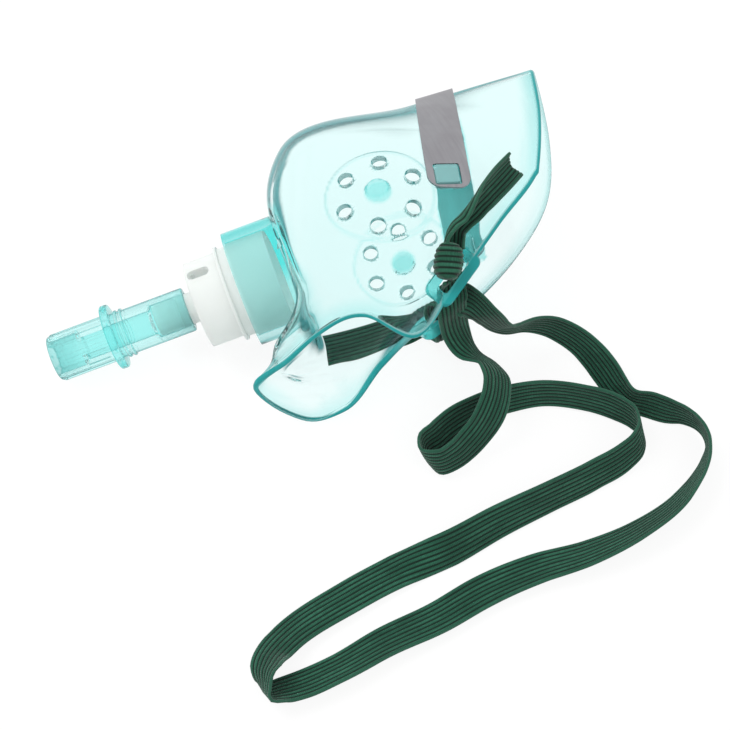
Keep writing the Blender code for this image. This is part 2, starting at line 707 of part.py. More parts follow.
def make_ribbon(name, route, material=None):
    """Closed flat ribbon along a route."""
    points, across, normal = ribbon_rows(route)
    half = normal * STRAP_THICKNESS / 2
    top, under = [], []
    for share in (-0.5, 0.5):
        top.append(points + across * share + half)
        under.append(points + across * share - half)
    top = np.stack(top, axis=1).reshape(-1, 3)
    under = np.stack(under, axis=1).reshape(-1, 3)
    return make_object(name, *strip_solid(list(top), list(under), len(points), 2), material)


def make_knot(name, middle, along, out):
    """Rounded lump with its long side along one direction and its low side along another."""
    frame = local_frame(Vector(middle) * MILLIMETRE, Vector(out), Vector(along))
    rings, steps = 9, 14
    points = []
    for ring in range(1, rings):
        tilt = math.pi * ring / rings
        for step in range(steps):
            turn = 2 * math.pi * step / steps
            corner = (math.cos(tilt), math.sin(tilt) * math.cos(turn), math.sin(tilt) * math.sin(turn))
            swollen = [math.copysign(abs(part) ** KNOT_SQUARE, part) for part in corner]
            points.append(frame @ Vector([part * half for part, half in zip(swollen, KNOT_HALF)]))
    first, last = len(points), len(points) + 1
    points.append(frame @ Vector((KNOT_HALF[0], 0.0, 0.0)))
    points.append(frame @ Vector((-KNOT_HALF[0], 0.0, 0.0)))
    faces = []
    for step in range(steps):
        after = (step + 1) % steps
        faces.append((first, step, after))
        for ring in range(rings - 2):
            here, there = ring * steps, (ring + 1) * steps
            faces.append((here + step, there + step, there + after, here + after))
        faces.append(((rings - 2) * steps + step, last, (rings - 2) * steps + after))
    return make_object(name, points, faces)


def make_elastic_strap(material):
    """Ribbon from ear to ear with both knots and both loose tails."""
    strap = make_ribbon("elastic_strap", STRAP_ROUTE, material)
    combine(strap, make_knot("near_knot", NEAR_KNOT, NEAR_KNOT_ALONG, NEAR_KNOT_OUT), "UNION")
    combine(strap, make_knot("far_knot", FAR_KNOT, FAR_KNOT_ALONG, FAR_KNOT_OUT), "UNION")
    combine(strap, make_ribbon("near_tail", NEAR_TAIL), "UNION")
    combine(strap, make_ribbon("far_tail", FAR_TAIL), "UNION")
    return strap


def make_port_collar(material, parent):
    """Milky collar pushed into the port, with two windows and a spigot for the connector."""
    bore = COLLAR_RADIUS - COLLAR_WALL
    plug = PORT_RADIUS - PORT_WALL - FIT
    flange_end = COLLAR_FLANGE + COLLAR_FLANGE_THICKNESS
    chamfer = COLLAR_CHAMFER
    outer = [
        (COLLAR_FACE - SPIGOT_LENGTH, SPIGOT_RADIUS - chamfer),
        (COLLAR_FACE - SPIGOT_LENGTH + chamfer, SPIGOT_RADIUS),
        (COLLAR_FACE, SPIGOT_RADIUS),
        (COLLAR_FACE, COLLAR_RADIUS - chamfer),
        (COLLAR_FACE + chamfer, COLLAR_RADIUS),
        (COLLAR_FLANGE, COLLAR_RADIUS),
        (COLLAR_FLANGE, COLLAR_FLANGE_RADIUS),
        (flange_end, COLLAR_FLANGE_RADIUS),
        (flange_end, COLLAR_RADIUS + chamfer),
        (PORT_MOUTH - chamfer, COLLAR_RADIUS + chamfer),
        (PORT_MOUTH + chamfer, plug),
        (COLLAR_PLUG_END, plug),
    ]
    inner = [
        (COLLAR_PLUG_END, plug - COLLAR_WALL),
        (PORT_MOUTH, bore),
        (COLLAR_FACE + COLLAR_WALL, bore),
        (COLLAR_FACE + COLLAR_WALL, SPIGOT_BORE),
        (COLLAR_FACE - SPIGOT_LENGTH, SPIGOT_BORE),
    ]
    profile = [(place, radius, True) for place, radius in outer]
    profile += [(place, radius, False) for place, radius in inner]
    collar = make_turned("port_collar", profile, material, parent)
    for turn in (WINDOW_ANGLE, WINDOW_ANGLE + 180.0):
        out = Vector((0.0, math.cos(math.radians(turn)), math.sin(math.radians(turn))))
        frame = local_frame(Vector((COLLAR_FACE + WINDOW_CENTRE, 0.0, 0.0)), out, (1.0, 0.0, 0.0))
        outline = rounded_box(WINDOW_LENGTH, WINDOW_WIDTH, 0.46 * WINDOW_WIDTH, 5)
        window = make_prism("window", outline, bore - MILLIMETRE, COLLAR_RADIUS + MILLIMETRE, frame, parent)
        combine(collar, window, "DIFFERENCE")
    return collar


def make_tubing_connector(material, parent):
    """Clear tinted connector: ribbed nozzle, grip flange, two fine beads and a plain barrel."""
    end = COLLAR_FACE - CONNECTOR_GAP
    start = end - CONNECTOR_LENGTH
    grip = start + NOZZLE_LENGTH
    grip_end = grip + GRIP_THICKNESS
    round_off = CONNECTOR_EDGE
    bead = BEAD_WIDTH
    socket_end = COLLAR_FACE - SPIGOT_LENGTH - FIT
    outer = [
        (start, NOZZLE_RADIUS - round_off),
        (start + round_off, NOZZLE_RADIUS),
        (grip - RIB_END, NOZZLE_RADIUS),
        (grip, NOZZLE_RADIUS),
        (grip, GRIP_RADIUS - round_off),
        (grip + round_off, GRIP_RADIUS),
        (grip_end - round_off, GRIP_RADIUS),
        (grip_end, GRIP_RADIUS - round_off),
        (grip_end, CONNECTOR_RADIUS),
    ]
    for place in (grip_end + BEAD_FIRST, grip_end + BEAD_FIRST + BEAD_PITCH):
        outer += [
            (place, CONNECTOR_RADIUS),
            (place + bead / 2, CONNECTOR_RADIUS + BEAD_HEIGHT),
            (place + bead, CONNECTOR_RADIUS + BEAD_HEIGHT),
            (place + 1.5 * bead, CONNECTOR_RADIUS),
        ]
    outer += [(end - round_off, CONNECTOR_RADIUS), (end, CONNECTOR_RADIUS - round_off)]
    inner = [
        (end, SPIGOT_RADIUS + FIT),
        (socket_end, SPIGOT_RADIUS + FIT),
        (socket_end, THROAT_RADIUS),
        (start + NOZZLE_DEPTH, THROAT_RADIUS),
        (start + NOZZLE_DEPTH, NOZZLE_BORE),
        (start, NOZZLE_BORE),
    ]
    profile = [(place, radius, True) for place, radius in outer]
    profile += [(place, radius, False) for place, radius in inner]
    ribs = (start + round_off, grip - RIB_END, NOZZLE_RIBS, RIB_HEIGHT)
    return make_turned("tubing_connector", profile, material, parent, ribs)


def main():
    """Build every piece and lay the mask on its lower cheek."""
    clear_scene()
    vinyl = make_material("soft_vinyl", (0.45, 0.86, 0.84), 0.12, alpha=0.5)
    tinted = make_material("tinted_plastic", (0.36, 0.82, 0.80), 0.12, alpha=0.6)
    milky = make_material("milky_plastic", (0.85, 0.87, 0.85), 0.35, alpha=0.85)
    aluminium = make_material("soft_aluminium", (0.55, 0.55, 0.56), 0.38, metallic=1.0)
    elastic = make_material("covered_elastic", (0.02, 0.12, 0.07), 0.8)
    make_elastic_strap(elastic)
    mask_frame = bpy.data.objects.new("mask_frame", None)
    bpy.context.scene.collection.objects.link(mask_frame)
    shell, wall, lug_frames = make_mask_shell(vinyl, mask_frame)
    make_nose_clip(wall, lug_frames, aluminium, mask_frame)
    make_port_collar(milky, mask_frame)
    make_tubing_connector(tinted, mask_frame)
    mask_frame.rotation_euler = (math.radians(LIE_ROLL), math.radians(LIE_PITCH), 0.0)
    mask_frame.location = (*LIE_OFFSET, LIE_HEIGHT)


main()
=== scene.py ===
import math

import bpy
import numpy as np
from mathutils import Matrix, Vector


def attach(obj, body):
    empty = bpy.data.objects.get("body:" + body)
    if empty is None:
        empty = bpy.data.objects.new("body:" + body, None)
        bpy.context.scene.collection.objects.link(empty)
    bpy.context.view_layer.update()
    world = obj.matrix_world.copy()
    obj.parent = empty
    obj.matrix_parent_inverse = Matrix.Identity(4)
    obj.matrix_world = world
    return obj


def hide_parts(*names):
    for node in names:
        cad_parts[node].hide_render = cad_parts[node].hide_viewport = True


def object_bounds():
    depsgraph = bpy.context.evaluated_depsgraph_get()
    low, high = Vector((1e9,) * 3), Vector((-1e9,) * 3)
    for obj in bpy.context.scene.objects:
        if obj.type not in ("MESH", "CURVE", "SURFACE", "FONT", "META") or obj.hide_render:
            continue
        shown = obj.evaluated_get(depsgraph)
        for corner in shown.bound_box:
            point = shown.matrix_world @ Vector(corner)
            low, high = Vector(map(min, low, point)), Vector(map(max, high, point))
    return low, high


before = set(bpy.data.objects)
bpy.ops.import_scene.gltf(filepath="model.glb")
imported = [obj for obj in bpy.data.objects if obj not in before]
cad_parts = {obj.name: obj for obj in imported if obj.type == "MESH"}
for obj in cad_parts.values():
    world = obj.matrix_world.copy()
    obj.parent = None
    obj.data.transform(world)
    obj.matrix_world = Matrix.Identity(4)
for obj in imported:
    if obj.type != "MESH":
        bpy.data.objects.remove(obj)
cad_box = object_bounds()

# %% [markdown]
# An oxygen mask for a child lies on a white table on one of its cheeks.  It is made of five
# pieces: a soft clear moulding, an aluminium strip over the nose, a milky collar in the port,
# a clear connector for the tubing, and a flat green elastic strap that is knotted at both ears.
# Every new piece below is a surface that numpy works out as whole arrays, and it stands where
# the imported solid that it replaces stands.

MM = 0.001
print("packed box", [round(value, 4) for corner in cad_box for value in corner])

# %% [markdown]
# The moulding has a frame of its own: x runs along the port's axis towards the face, y towards
# the nose, z towards the upper cheek.  One roll and one pitch lay it on the table.

# %% The mask's own frame
LIE = np.array([2.29, -2.055, 18.66])
LIE_PITCH = math.radians(-10.14)
LIE_ROLL = math.radians(-5.45)
TURN = np.array(Matrix.Rotation(LIE_PITCH, 3, "Y") @ Matrix.Rotation(LIE_ROLL, 3, "X"))


def on_table(points):
    """Points of the mask's frame in millimetres, turned by the roll and the pitch, then lifted."""
    return (np.asarray(points, float) @ TURN.T + LIE) * MM


print("port axis on the table", TURN[:, 0].round(3))

# %% [markdown]
# The camera looks down at the mask from the side of the chin, with a roll that lifts the nose
# end towards the upper right.  Its lens is written as the pixels that one radian would take,
# so that a small angle at the camera is a length on the picture divided by that number.

# %% Camera
PICTURE = 730
LENS_PIXELS = 1523.0
SENSOR = 36.0
CAMERA_LIFT = math.radians(58.0)
CAMERA_ROLL = math.radians(20.4)
CAMERA_REACH = 380.75
CAMERA_SLIDE = 28.45


def new_object(name, data):
    """Object at the origin that holds some data, linked to the scene."""
    made = bpy.data.objects.new(name, data)
    bpy.context.scene.collection.objects.link(made)
    return made


def make_camera():
    """A camera at reach times its back axis, less slide times the level up axis, then rolled."""
    up = np.array([0.0, math.sin(CAMERA_LIFT), math.cos(CAMERA_LIFT)])
    back = np.array([0.0, -math.cos(CAMERA_LIFT), math.sin(CAMERA_LIFT)])
    right = np.array([1.0, 0.0, 0.0])
    across = right * math.cos(CAMERA_ROLL) - up * math.sin(CAMERA_ROLL)
    above = right * math.sin(CAMERA_ROLL) + up * math.cos(CAMERA_ROLL)
    data = bpy.data.cameras.new("camera")
    data.sensor_width = SENSOR
    data.lens = LENS_PIXELS * SENSOR / PICTURE
    camera = new_object("camera", data)
    place = np.eye(4)
    place[:3, :3] = TURN @ np.stack([across, above, back], axis=1)
    place[:3, 3] = on_table(back * CAMERA_REACH - up * CAMERA_SLIDE)
    camera.matrix_world = Matrix(place.tolist())
    bpy.context.scene.camera = camera
    return camera


camera = make_camera()
print("camera at", [round(value, 3) for value in camera.matrix_world.translation])

# %% [markdown]
# A few helpers carry the whole file.  The first ones work on arrays alone: a smooth curve
# through chosen points, lengths along a line, and the faces of a grid.

# %% Curve and grid helpers


def hermite(knots, points, places):
    """Cubic curve through points at knots; each slope is that of the parabola through three."""
    knots = np.asarray(knots, float)
    points = np.asarray(points, float)
    spans = np.diff(knots)
    slopes = np.diff(points, axis=0) / spans[:, None]
    before, after = spans[:-1, None], spans[1:, None]
    middle = (after * slopes[:-1] + before * slopes[1:]) / (before + after)
    tangents = np.vstack([2 * slopes[:1] - middle[:1], middle, 2 * slopes[-1:] - middle[-1:]])
    index = np.clip(np.searchsorted(knots, places, side="right") - 1, 0, len(spans) - 1)
    span = spans[index][:, None]
    t = ((places - knots[index]) / spans[index])[:, None]
    start, end = points[index], points[index + 1]
    return (
        start * (2 * t**3 - 3 * t**2 + 1)
        + tangents[index] * span * (t**3 - 2 * t**2 + t)
        + end * (3 * t**2 - 2 * t**3)
        + tangents[index + 1] * span * (t**3 - t**2)
    )


def unit(vectors):
    """Each vector divided by its length."""
    return vectors / np.linalg.norm(vectors, axis=-1, keepdims=True)


def reach_along(points):
    """Distance of each point along a line of points, from zero at the first."""
    legs = np.linalg.norm(np.diff(points, axis=0), axis=1)
    return np.concatenate([[0.0], np.cumsum(legs)])


def grid_faces(rows, columns, loop_rows=False):
    """Quads between neighbours of a grid of points, whose last column joins the first."""
    row = np.arange(rows if loop_rows else rows - 1)[:, None]
    column = np.arange(columns)[None, :]
    next_row, next_column = (row + 1) % rows, (column + 1) % columns
    corners = [(row, column), (row, next_column), (next_row, next_column), (next_row, column)]
    return np.stack([a * columns + b for a, b in corners], axis=-1).reshape(-1, 4)


hill = hermite((0.0, 1.0, 2.0), ((0.0,), (1.0,), (0.0,)), np.array([0.5]))
print("half way up a hill of height one the curve is at", round(float(hill[0, 0]), 3))

# %% [markdown]
# The others make a mesh from such arrays.  A closed piece is measured by its volume, which is
# negative when its faces look inwards, and a tube of rings gets a cap at each end.

# %% Mesh helpers


def make_mesh(name, points, quads, caps=(), uv=None):
    """Mesh object from arrays of points and quads, with end caps and a UV value per point."""
    mesh = bpy.data.meshes.new(name)
    faces = quads.tolist() + [list(map(int, cap)) for cap in caps]
    mesh.from_pydata(points.reshape(-1, 3).tolist(), [], faces)
    if uv is not None:
        corners = np.zeros(len(mesh.loops), np.int32)
        mesh.loops.foreach_get("vertex_index", corners)
        layer = mesh.uv_layers.new(name="weave")
        layer.data.foreach_set("uv", uv.reshape(-1, 2)[corners].astype(np.float32).ravel())
    mesh.shade_smooth()
    return new_object(name, mesh)


def vertex_places(mesh):
    """The mesh's points as an array."""
    points = np.zeros(len(mesh.vertices) * 3)
    mesh.vertices.foreach_get("co", points)
    return points.reshape(-1, 3)


def turn_outwards(piece):
    """Turn the faces round if the closed mesh has a negative volume; returns its volume."""
    mesh = piece.data
    mesh.calc_loop_triangles()
    corners = np.zeros(len(mesh.loop_triangles) * 3, np.int32)
    mesh.loop_triangles.foreach_get("vertices", corners)
    a, b, c = vertex_places(mesh)[corners.reshape(-1, 3)].transpose(1, 0, 2)
    volume = np.einsum("ij,ij->i", a, np.cross(b, c)).sum() / 6
    if volume < 0:
        mesh.flip_normals()
    return abs(volume)


def make_tube(name, points, uv=None):
    """Mesh of a grid of rings, closed by a cap at each end, its faces turned outwards."""
    rows, columns = points.shape[:2]
    ring = np.arange(columns)
    caps = [ring[::-1], (rows - 1) * columns + ring]
    tube = make_mesh(name, points, grid_faces(rows, columns), caps, uv)
    turn_outwards(tube)
    return tube


def describe(piece):
    """Print how many faces a piece has and how large it is."""
    size = [round(value * 1000, 1) for value in piece.dimensions]
    print(piece.name, len(piece.data.polygons), "faces,", size, "mm")


print("mesh helpers ready")

# %% [markdown]
# Materials are node trees.  A small wiring kit keeps each one readable: it adds a node, links
# whatever it is given, and returns the node's first output.

# %% Node helpers


def new_material(name):
    """A material with an empty node tree."""
    material = bpy.data.materials.new(name)
    material.use_nodes = True
    material.node_tree.nodes.clear()
    return material, material.node_tree


def wire(tree, socket, source):
    """Link a node output into a socket, or set a plain value on it."""
    if isinstance(source, bpy.types.NodeSocket):
        tree.links.new(source, socket)
    else:
        socket.default_value = source


def add(tree, kind, inputs=(), out=0, **settings):
    """Add a shader node, wire its inputs by name or number, and return one output."""
    made = tree.nodes.new("ShaderNode" + kind)
    for key, value in settings.items():
        setattr(made, key, value)
    for key, source in dict(inputs).items():
        wire(tree, made.inputs[key], source)
    return made.outputs[out]


def sums(tree, operation, *values):
    """A Math node of two or three values."""
    return add(tree, "Math", enumerate(values), operation=operation)


def blend_colour(tree, share, first, second):
    """Mix two colours by a share from 0 to 1."""
    mix = tree.nodes.new("ShaderNodeMix")
    mix.data_type = "RGBA"
    wire(tree, mix.inputs[0], share)
    wire(tree, mix.inputs[6], first)
    wire(tree, mix.inputs[7], second)
    return mix.outputs[2]


def span(tree, value, low, high, start=0.0, end=1.0):
    """Map a value from one span to another, smoothly and without leaving it."""
    names = {"Value": value, "From Min": low, "From Max": high, "To Min": start, "To Max": end}
    return add(tree, "MapRange", names, interpolation_type="SMOOTHSTEP")


def noise(tree, where, scale, detail=2.0):
    """Noise on a vector, in features per metre where the vector is a place."""
    return add(tree, "TexNoise", {"Vector": where, "Scale": scale, "Detail": detail})


def bump(tree, height, distance, strength):
    """Bump node whose height is given in shares of a distance in metres."""
    return add(tree, "Bump", {"Height": height, "Distance": distance, "Strength": strength})


def finish_surface(tree, shader, kind="OutputMaterial"):
    """Link a shader to the output of a material or of the world."""
    output = tree.nodes.new("ShaderNode" + kind)
    tree.links.new(shader, output.inputs["Surface"])


def dress(piece, *materials):
    """Give a piece its materials, in the order of its slots."""
    piece.data.materials.clear()
    for material in materials:
        piece.data.materials.append(material)


print("node helpers ready")

# %% [markdown]
# The strap is a flat covered elastic: eight rubber cords lie side by side in a knitted green
# sleeve.  It could be a simulated cloth, but a ribbon that is simply carried along a chosen
# route keeps its ribs.  The route's stations give a place in millimetres and the direction
# from the right edge to the left one; where that direction is shorter than one, the ribbon is
# gathered, and its section bends to a gutter with that chord.

# %% The strap's route
STRAP_WIDTH = 8.7
STRAP_THICKNESS = 0.8
STRAP_STEP = 0.9
STRAP_RIBS = 8
TAIL_STEPS = (0.5, 0.8)
TAIL_NOTCH = 0.45
STRAP_ROUTE = (
    (27.2, -25.8, 35.9, 0.72, 0.52, 0.15), (27.0, -24.7, 33.0, 0.79, 0.58, 0.17),
    (26.9, -24.0, 30.8, 0.80, 0.57, 0.17), (26.6, -25.6, 28.6, 0.86, 0.49, 0.10),
    (26.0, -28.8, 26.2, 0.92, 0.36, 0.00), (26.2, -30.1, 22.0, 0.94, 0.33, -0.08),
    (26.6, -31.3, 18.6, 0.89, 0.42, -0.12), (27.6, -33.6, 15.6, 0.80, 0.48, -0.29),
    (29.4, -36.6, 13.6, 0.66, 0.36, -0.66), (32.0, -39.9, 13.6, 0.68, 0.12, -0.72),
    (32.7, -44.2, 14.3, 0.80, -0.07, -0.59), (31.2, -48.4, 13.6, 0.80, -0.20, -0.57),
    (28.7, -51.8, 11.7, 0.81, -0.29, -0.51), (25.7, -53.9, 8.3, 0.68, -0.37, -0.63),
    (21.8, -55.9, 6.3, 0.44, -0.47, -0.76), (17.6, -57.7, 5.8, 0.19, -0.47, -0.86),
    (13.2, -58.1, 5.5, 0.06, -0.35, -0.93), (10.8, -55.0, 4.7, 0.30, -0.08, -0.95),
    (11.9, -52.2, 4.4, 0.38, -0.28, -0.88), (15.6, -50.6, 4.1, 0.30, -0.50, -0.81),
    (19.2, -48.9, 4.1, 0.14, -0.58, -0.80), (27.4, -46.8, 4.4, 0.02, -0.50, -0.86),
    (36.0, -46.6, 4.4, -0.04, -0.44, -0.90), (45.0, -47.9, 4.5, -0.07, -0.33, -0.94),
    (53.2, -51.7, 4.7, -0.15, -0.26, -0.95), (60.5, -57.1, 4.6, -0.21, -0.20, -0.96),
    (63.2, -60.7, 4.7, -0.09, -0.13, -0.99), (63.8, -64.8, 5.1, 0.24, -0.16, -0.96),
    (61.3, -68.4, 5.1, 0.36, -0.34, -0.87), (57.4, -70.2, 4.5, 0.29, -0.48, -0.83),
    (48.7, -72.2, 4.0, 0.11, -0.57, -0.81), (35.6, -74.3, 3.9, 0.10, -0.59, -0.80),
    (22.3, -76.3, 3.6, 0.15, -0.69, -0.71), (9.2, -78.8, 2.7, 0.14, -0.84, -0.53),
    (-4.0, -79.8, 1.1, 0.17, -0.98, 0.07), (-17.2, -82.5, 1.4, 0.21, -0.97, 0.16),
    (-34.3, -87.9, 2.2, 0.51, -0.81, 0.29), (-37.9, -90.2, 3.0, 0.70, -0.65, 0.30),
    (-40.5, -93.1, 4.7, 0.77, -0.41, 0.50), (-42.1, -96.7, 5.3, 0.36, -0.34, 0.87),
    (-42.5, -99.4, 4.1, 0.06, -0.61, 0.79), (-38.8, -99.6, 2.8, 0.05, -0.84, 0.55),
    (-34.3, -99.6, 2.5, 0.04, -0.89, 0.46), (-25.6, -98.6, 2.5, 0.20, -0.87, 0.46),
    (-12.6, -95.8, 2.1, 0.15, -0.92, 0.35), (0.5, -93.9, 1.6, 0.21, -0.94, 0.27),
    (13.5, -91.0, 1.5, 0.18, -0.96, 0.21), (26.7, -89.8, 1.8, -0.01, -0.95, 0.30),
    (40.0, -90.1, 2.6, -0.02, -0.87, 0.50), (53.2, -88.6, 3.5, 0.12, -0.71, 0.70),
    (65.8, -84.5, 4.1, 0.19, -0.49, 0.85), (69.6, -82.2, 4.4, 0.19, -0.36, 0.91),
    (73.1, -79.5, 4.6, 0.16, -0.23, 0.96), (76.2, -76.3, 4.8, 0.04, -0.11, 0.99),
    (78.3, -72.5, 5.1, -0.15, -0.02, 0.99), (78.1, -68.2, 5.2, -0.18, -0.01, 0.98),
    (75.7, -64.5, 4.9, -0.05, 0.06, 1.00), (72.0, -61.7, 4.6, 0.15, 0.25, 0.96),
    (68.4, -58.8, 4.6, 0.20, 0.27, 0.94), (64.7, -56.2, 4.6, 0.21, 0.09, 0.97),
    (62.6, -52.0, 5.0, 0.46, 0.08, 0.88), (61.5, -47.4, 5.5, 0.57, 0.06, 0.82),
    (60.2, -42.8, 6.0, 0.52, 0.07, 0.85), (58.2, -38.6, 6.8, 0.41, 0.06, 0.91),
    (55.2, -35.0, 7.8, 0.35, 0.03, 0.94), (51.5, -32.4, 9.1, 0.30, -0.04, 0.95),
    (47.1, -31.4, 10.5, 0.30, -0.15, 0.94), (42.6, -31.8, 11.9, 0.39, -0.23, 0.89),
    (39.0, -31.9, 14.0, 0.36, -0.42, 0.83), (36.3, -31.8, 17.7, 0.38, -0.42, 0.82),
    (33.9, -31.3, 21.8, 0.55, -0.30, 0.78), (30.6, -28.2, 24.6, 0.78, -0.05, 0.55),
    (27.6, -25.6, 23.9, 0.93, 0.25, 0.20), (25.0, -23.9, 21.6, 0.95, 0.30, 0.12),
    (24.7, -25.0, 19.0, 0.94, 0.31, 0.15), (25.4, -26.5, 17.2, 0.94, 0.31, 0.15),
    (26.2, -28.1, 14.9, 0.94, 0.31, 0.15), (26.6, -28.6, 12.0, 0.96, 0.26, 0.05),
    (26.5, -27.0, 8.8, 0.99, 0.10, 0.00), (26.0, -24.0, 6.0, 1.00, 0.00, 0.00),
    (25.6, -21.0, 4.3, 1.00, -0.02, 0.00), (25.3, -18.8, 3.0, 1.00, -0.02, 0.00),
)
NEAR_TAIL = (
    (49.2, -4.4, 42.2, -0.64, 0.05, 0.47), (46.6, -6.1, 42.1, -0.67, 0.04, 0.42),
    (44.0, -7.8, 42.1, -0.68, -0.00, 0.41), (41.0, -9.8, 42.1, -0.63, -0.02, 0.44),
    (37.7, -12.2, 42.1, -0.46, -0.01, 0.52), (35.3, -13.9, 41.5, -0.31, -0.00, 0.48),
    (32.8, -15.2, 40.7, -0.18, -0.03, 0.37), (30.3, -16.6, 40.0, -0.23, 0.02, 0.32),
    (29.0, -18.4, 39.0, -0.37, 0.06, 0.25), (28.1, -20.4, 38.1, -0.44, 0.09, 0.23),
)
FAR_TAIL = (
    (25.2, -18.2, 2.3, 0.00, -0.60, 0.05), (22.4, -18.0, 1.4, 0.00, -0.70, 0.03),
    (19.0, -18.0, 0.7, 0.00, -0.90, 0.00), (15.0, -18.0, 0.5, 0.00, -1.00, 0.00),
    (10.0, -18.1, 0.4, 0.02, -1.00, 0.00), (4.0, -18.1, 0.4, 0.00, -1.00, 0.00),
    (-3.2, -17.8, 0.4, -0.04, -1.00, 0.00),
)
print(len(STRAP_ROUTE), "stations from ear to ear")

# %% [markdown]
# The sleeve's section has a half thickness that swells over each rubber cord.  A gathered
# station keeps its full width of cloth: the arc of that length whose chord is the station's
# width has a half angle that solves sine over angle, so a table of that ratio is read
# backwards.

# %% Carrying the section along a route
HALF_ANGLES = np.linspace(1e-3, 2.9, 400)
SECTION_STEPS = 49
EDGE_SHARE = 0.45
RIB_ROUND = 0.7
SINK_SHARE = 0.4
CHORD_LIMITS = (0.25, 0.999)
FRAYED_ROWS = 5.0
FRAY_PLACE = (-0.15, 0.28)
FRAY_RIPPLE = (0.12, 31.0)
TABLE_GAP = 0.02


def ribbon_frame(route, step):
    """Evenly spaced middles, unit across, unit normal, chord share and distance along."""
    stations = np.array(route)
    reach = reach_along(stations[:, :3])
    places = np.linspace(0.0, reach[-1], 1 + round(reach[-1] / step))
    middles = hermite(reach, stations[:, :3], places)
    across = hermite(reach, stations[:, 3:], places)
    share = np.clip(np.linalg.norm(across, axis=1, keepdims=True), *CHORD_LIMITS)
    tangent = unit(np.gradient(middles, axis=0))
    across = unit(across - tangent * np.sum(across * tangent, axis=1, keepdims=True))
    return middles, across, np.cross(across, tangent), share, places


def ribbon_surface(route, step=STRAP_STEP, notch=0.0):
    """Closed ribbed band: an arc across each station, its half thickness swollen over each rib.

    A notch moves the middle of the first rows along the band, as scissors leave a frayed end.
    """
    middles, across, normal, share, places = ribbon_frame(route, step)
    half_angle = np.interp(-share, -np.sinc(HALF_ANGLES / np.pi), HALF_ANGLES)
    radius = STRAP_WIDTH / (2 * half_angle)
    side = np.linspace(-1.0, 1.0, SECTION_STEPS)
    side = np.concatenate([side, side[::-1]])[None, :]
    face = np.repeat([1.0, -1.0], SECTION_STEPS)[None, :]
    ribs = np.abs(np.sin(np.pi * STRAP_RIBS * (side + 1) / 2)) ** RIB_ROUND
    half = STRAP_THICKNESS / 2 * (EDGE_SHARE + (1 - EDGE_SHARE) * ribs)
    bend = half_angle * side
    x = radius * np.sin(bend) - face * half * np.sin(bend)
    z = radius * (1 - np.cos(bend)) - radius * (1 - np.cos(half_angle)) * SINK_SHARE
    z = z + face * half * np.cos(bend)
    points = middles[:, None] + across[:, None] * x[..., None] + normal[:, None] * z[..., None]
    fade = np.clip(1.0 - np.arange(len(middles)) / FRAYED_ROWS, 0.0, 1.0)[:, None]
    dip = np.exp(-(((side - FRAY_PLACE[0]) / FRAY_PLACE[1]) ** 2))
    dent = notch * fade * (dip + FRAY_RIPPLE[0] * np.sin(side * FRAY_RIPPLE[1]))
    points = points + unit(middles[1] - middles[0]) * dent[..., None]
    lengths = np.broadcast_to(places[:, None] / STRAP_WIDTH, x.shape)
    uv = np.stack([np.broadcast_to((side + 1) / 2, x.shape), lengths], axis=-1)
    points[..., 2] = np.maximum(points[..., 2], TABLE_GAP)
    return points * MM, uv, middles * MM


def make_band(name, route, **shape):
    """Ribbed band with closed ends; returns the piece and the points that it follows."""
    points, uv, path = ribbon_surface(route, **shape)
    return make_tube(name, points, uv), path


strap, strap_path = make_band("strap_band", STRAP_ROUTE)
near_tail = make_band("near_tail", NEAR_TAIL, step=TAIL_STEPS[0], notch=TAIL_NOTCH)[0]
far_tail = make_band("far_tail", FAR_TAIL, step=TAIL_STEPS[1])[0]
describe(strap)

# %% [markdown]
# Both ends are tied outside the ears.  A knot in such a strap is a short barrel of turns that
# lie beside each other, so it is one surface: a rounded lump whose radius swells over each
# turn, with the turns slanted a little.

# %% Knots
NEAR_KNOT = ((26.1, -23.4, 38.1), (0.44, 0.83, 0.34), (0.056, -0.354, 0.933))
FAR_KNOT = ((25.3, -18.4, 2.6), (1.0, 0.1, 0.0), (0.0, 0.0, 1.0))
KNOT_HALF = np.array([4.5, 3.3, 2.3])
KNOT_SQUARE = 0.72
KNOT_TURNS = 3.3
KNOT_SWELL = 0.17
KNOT_SLANT = 0.10
KNOT_LEVEL = 0.7
KNOT_STEPS = 96


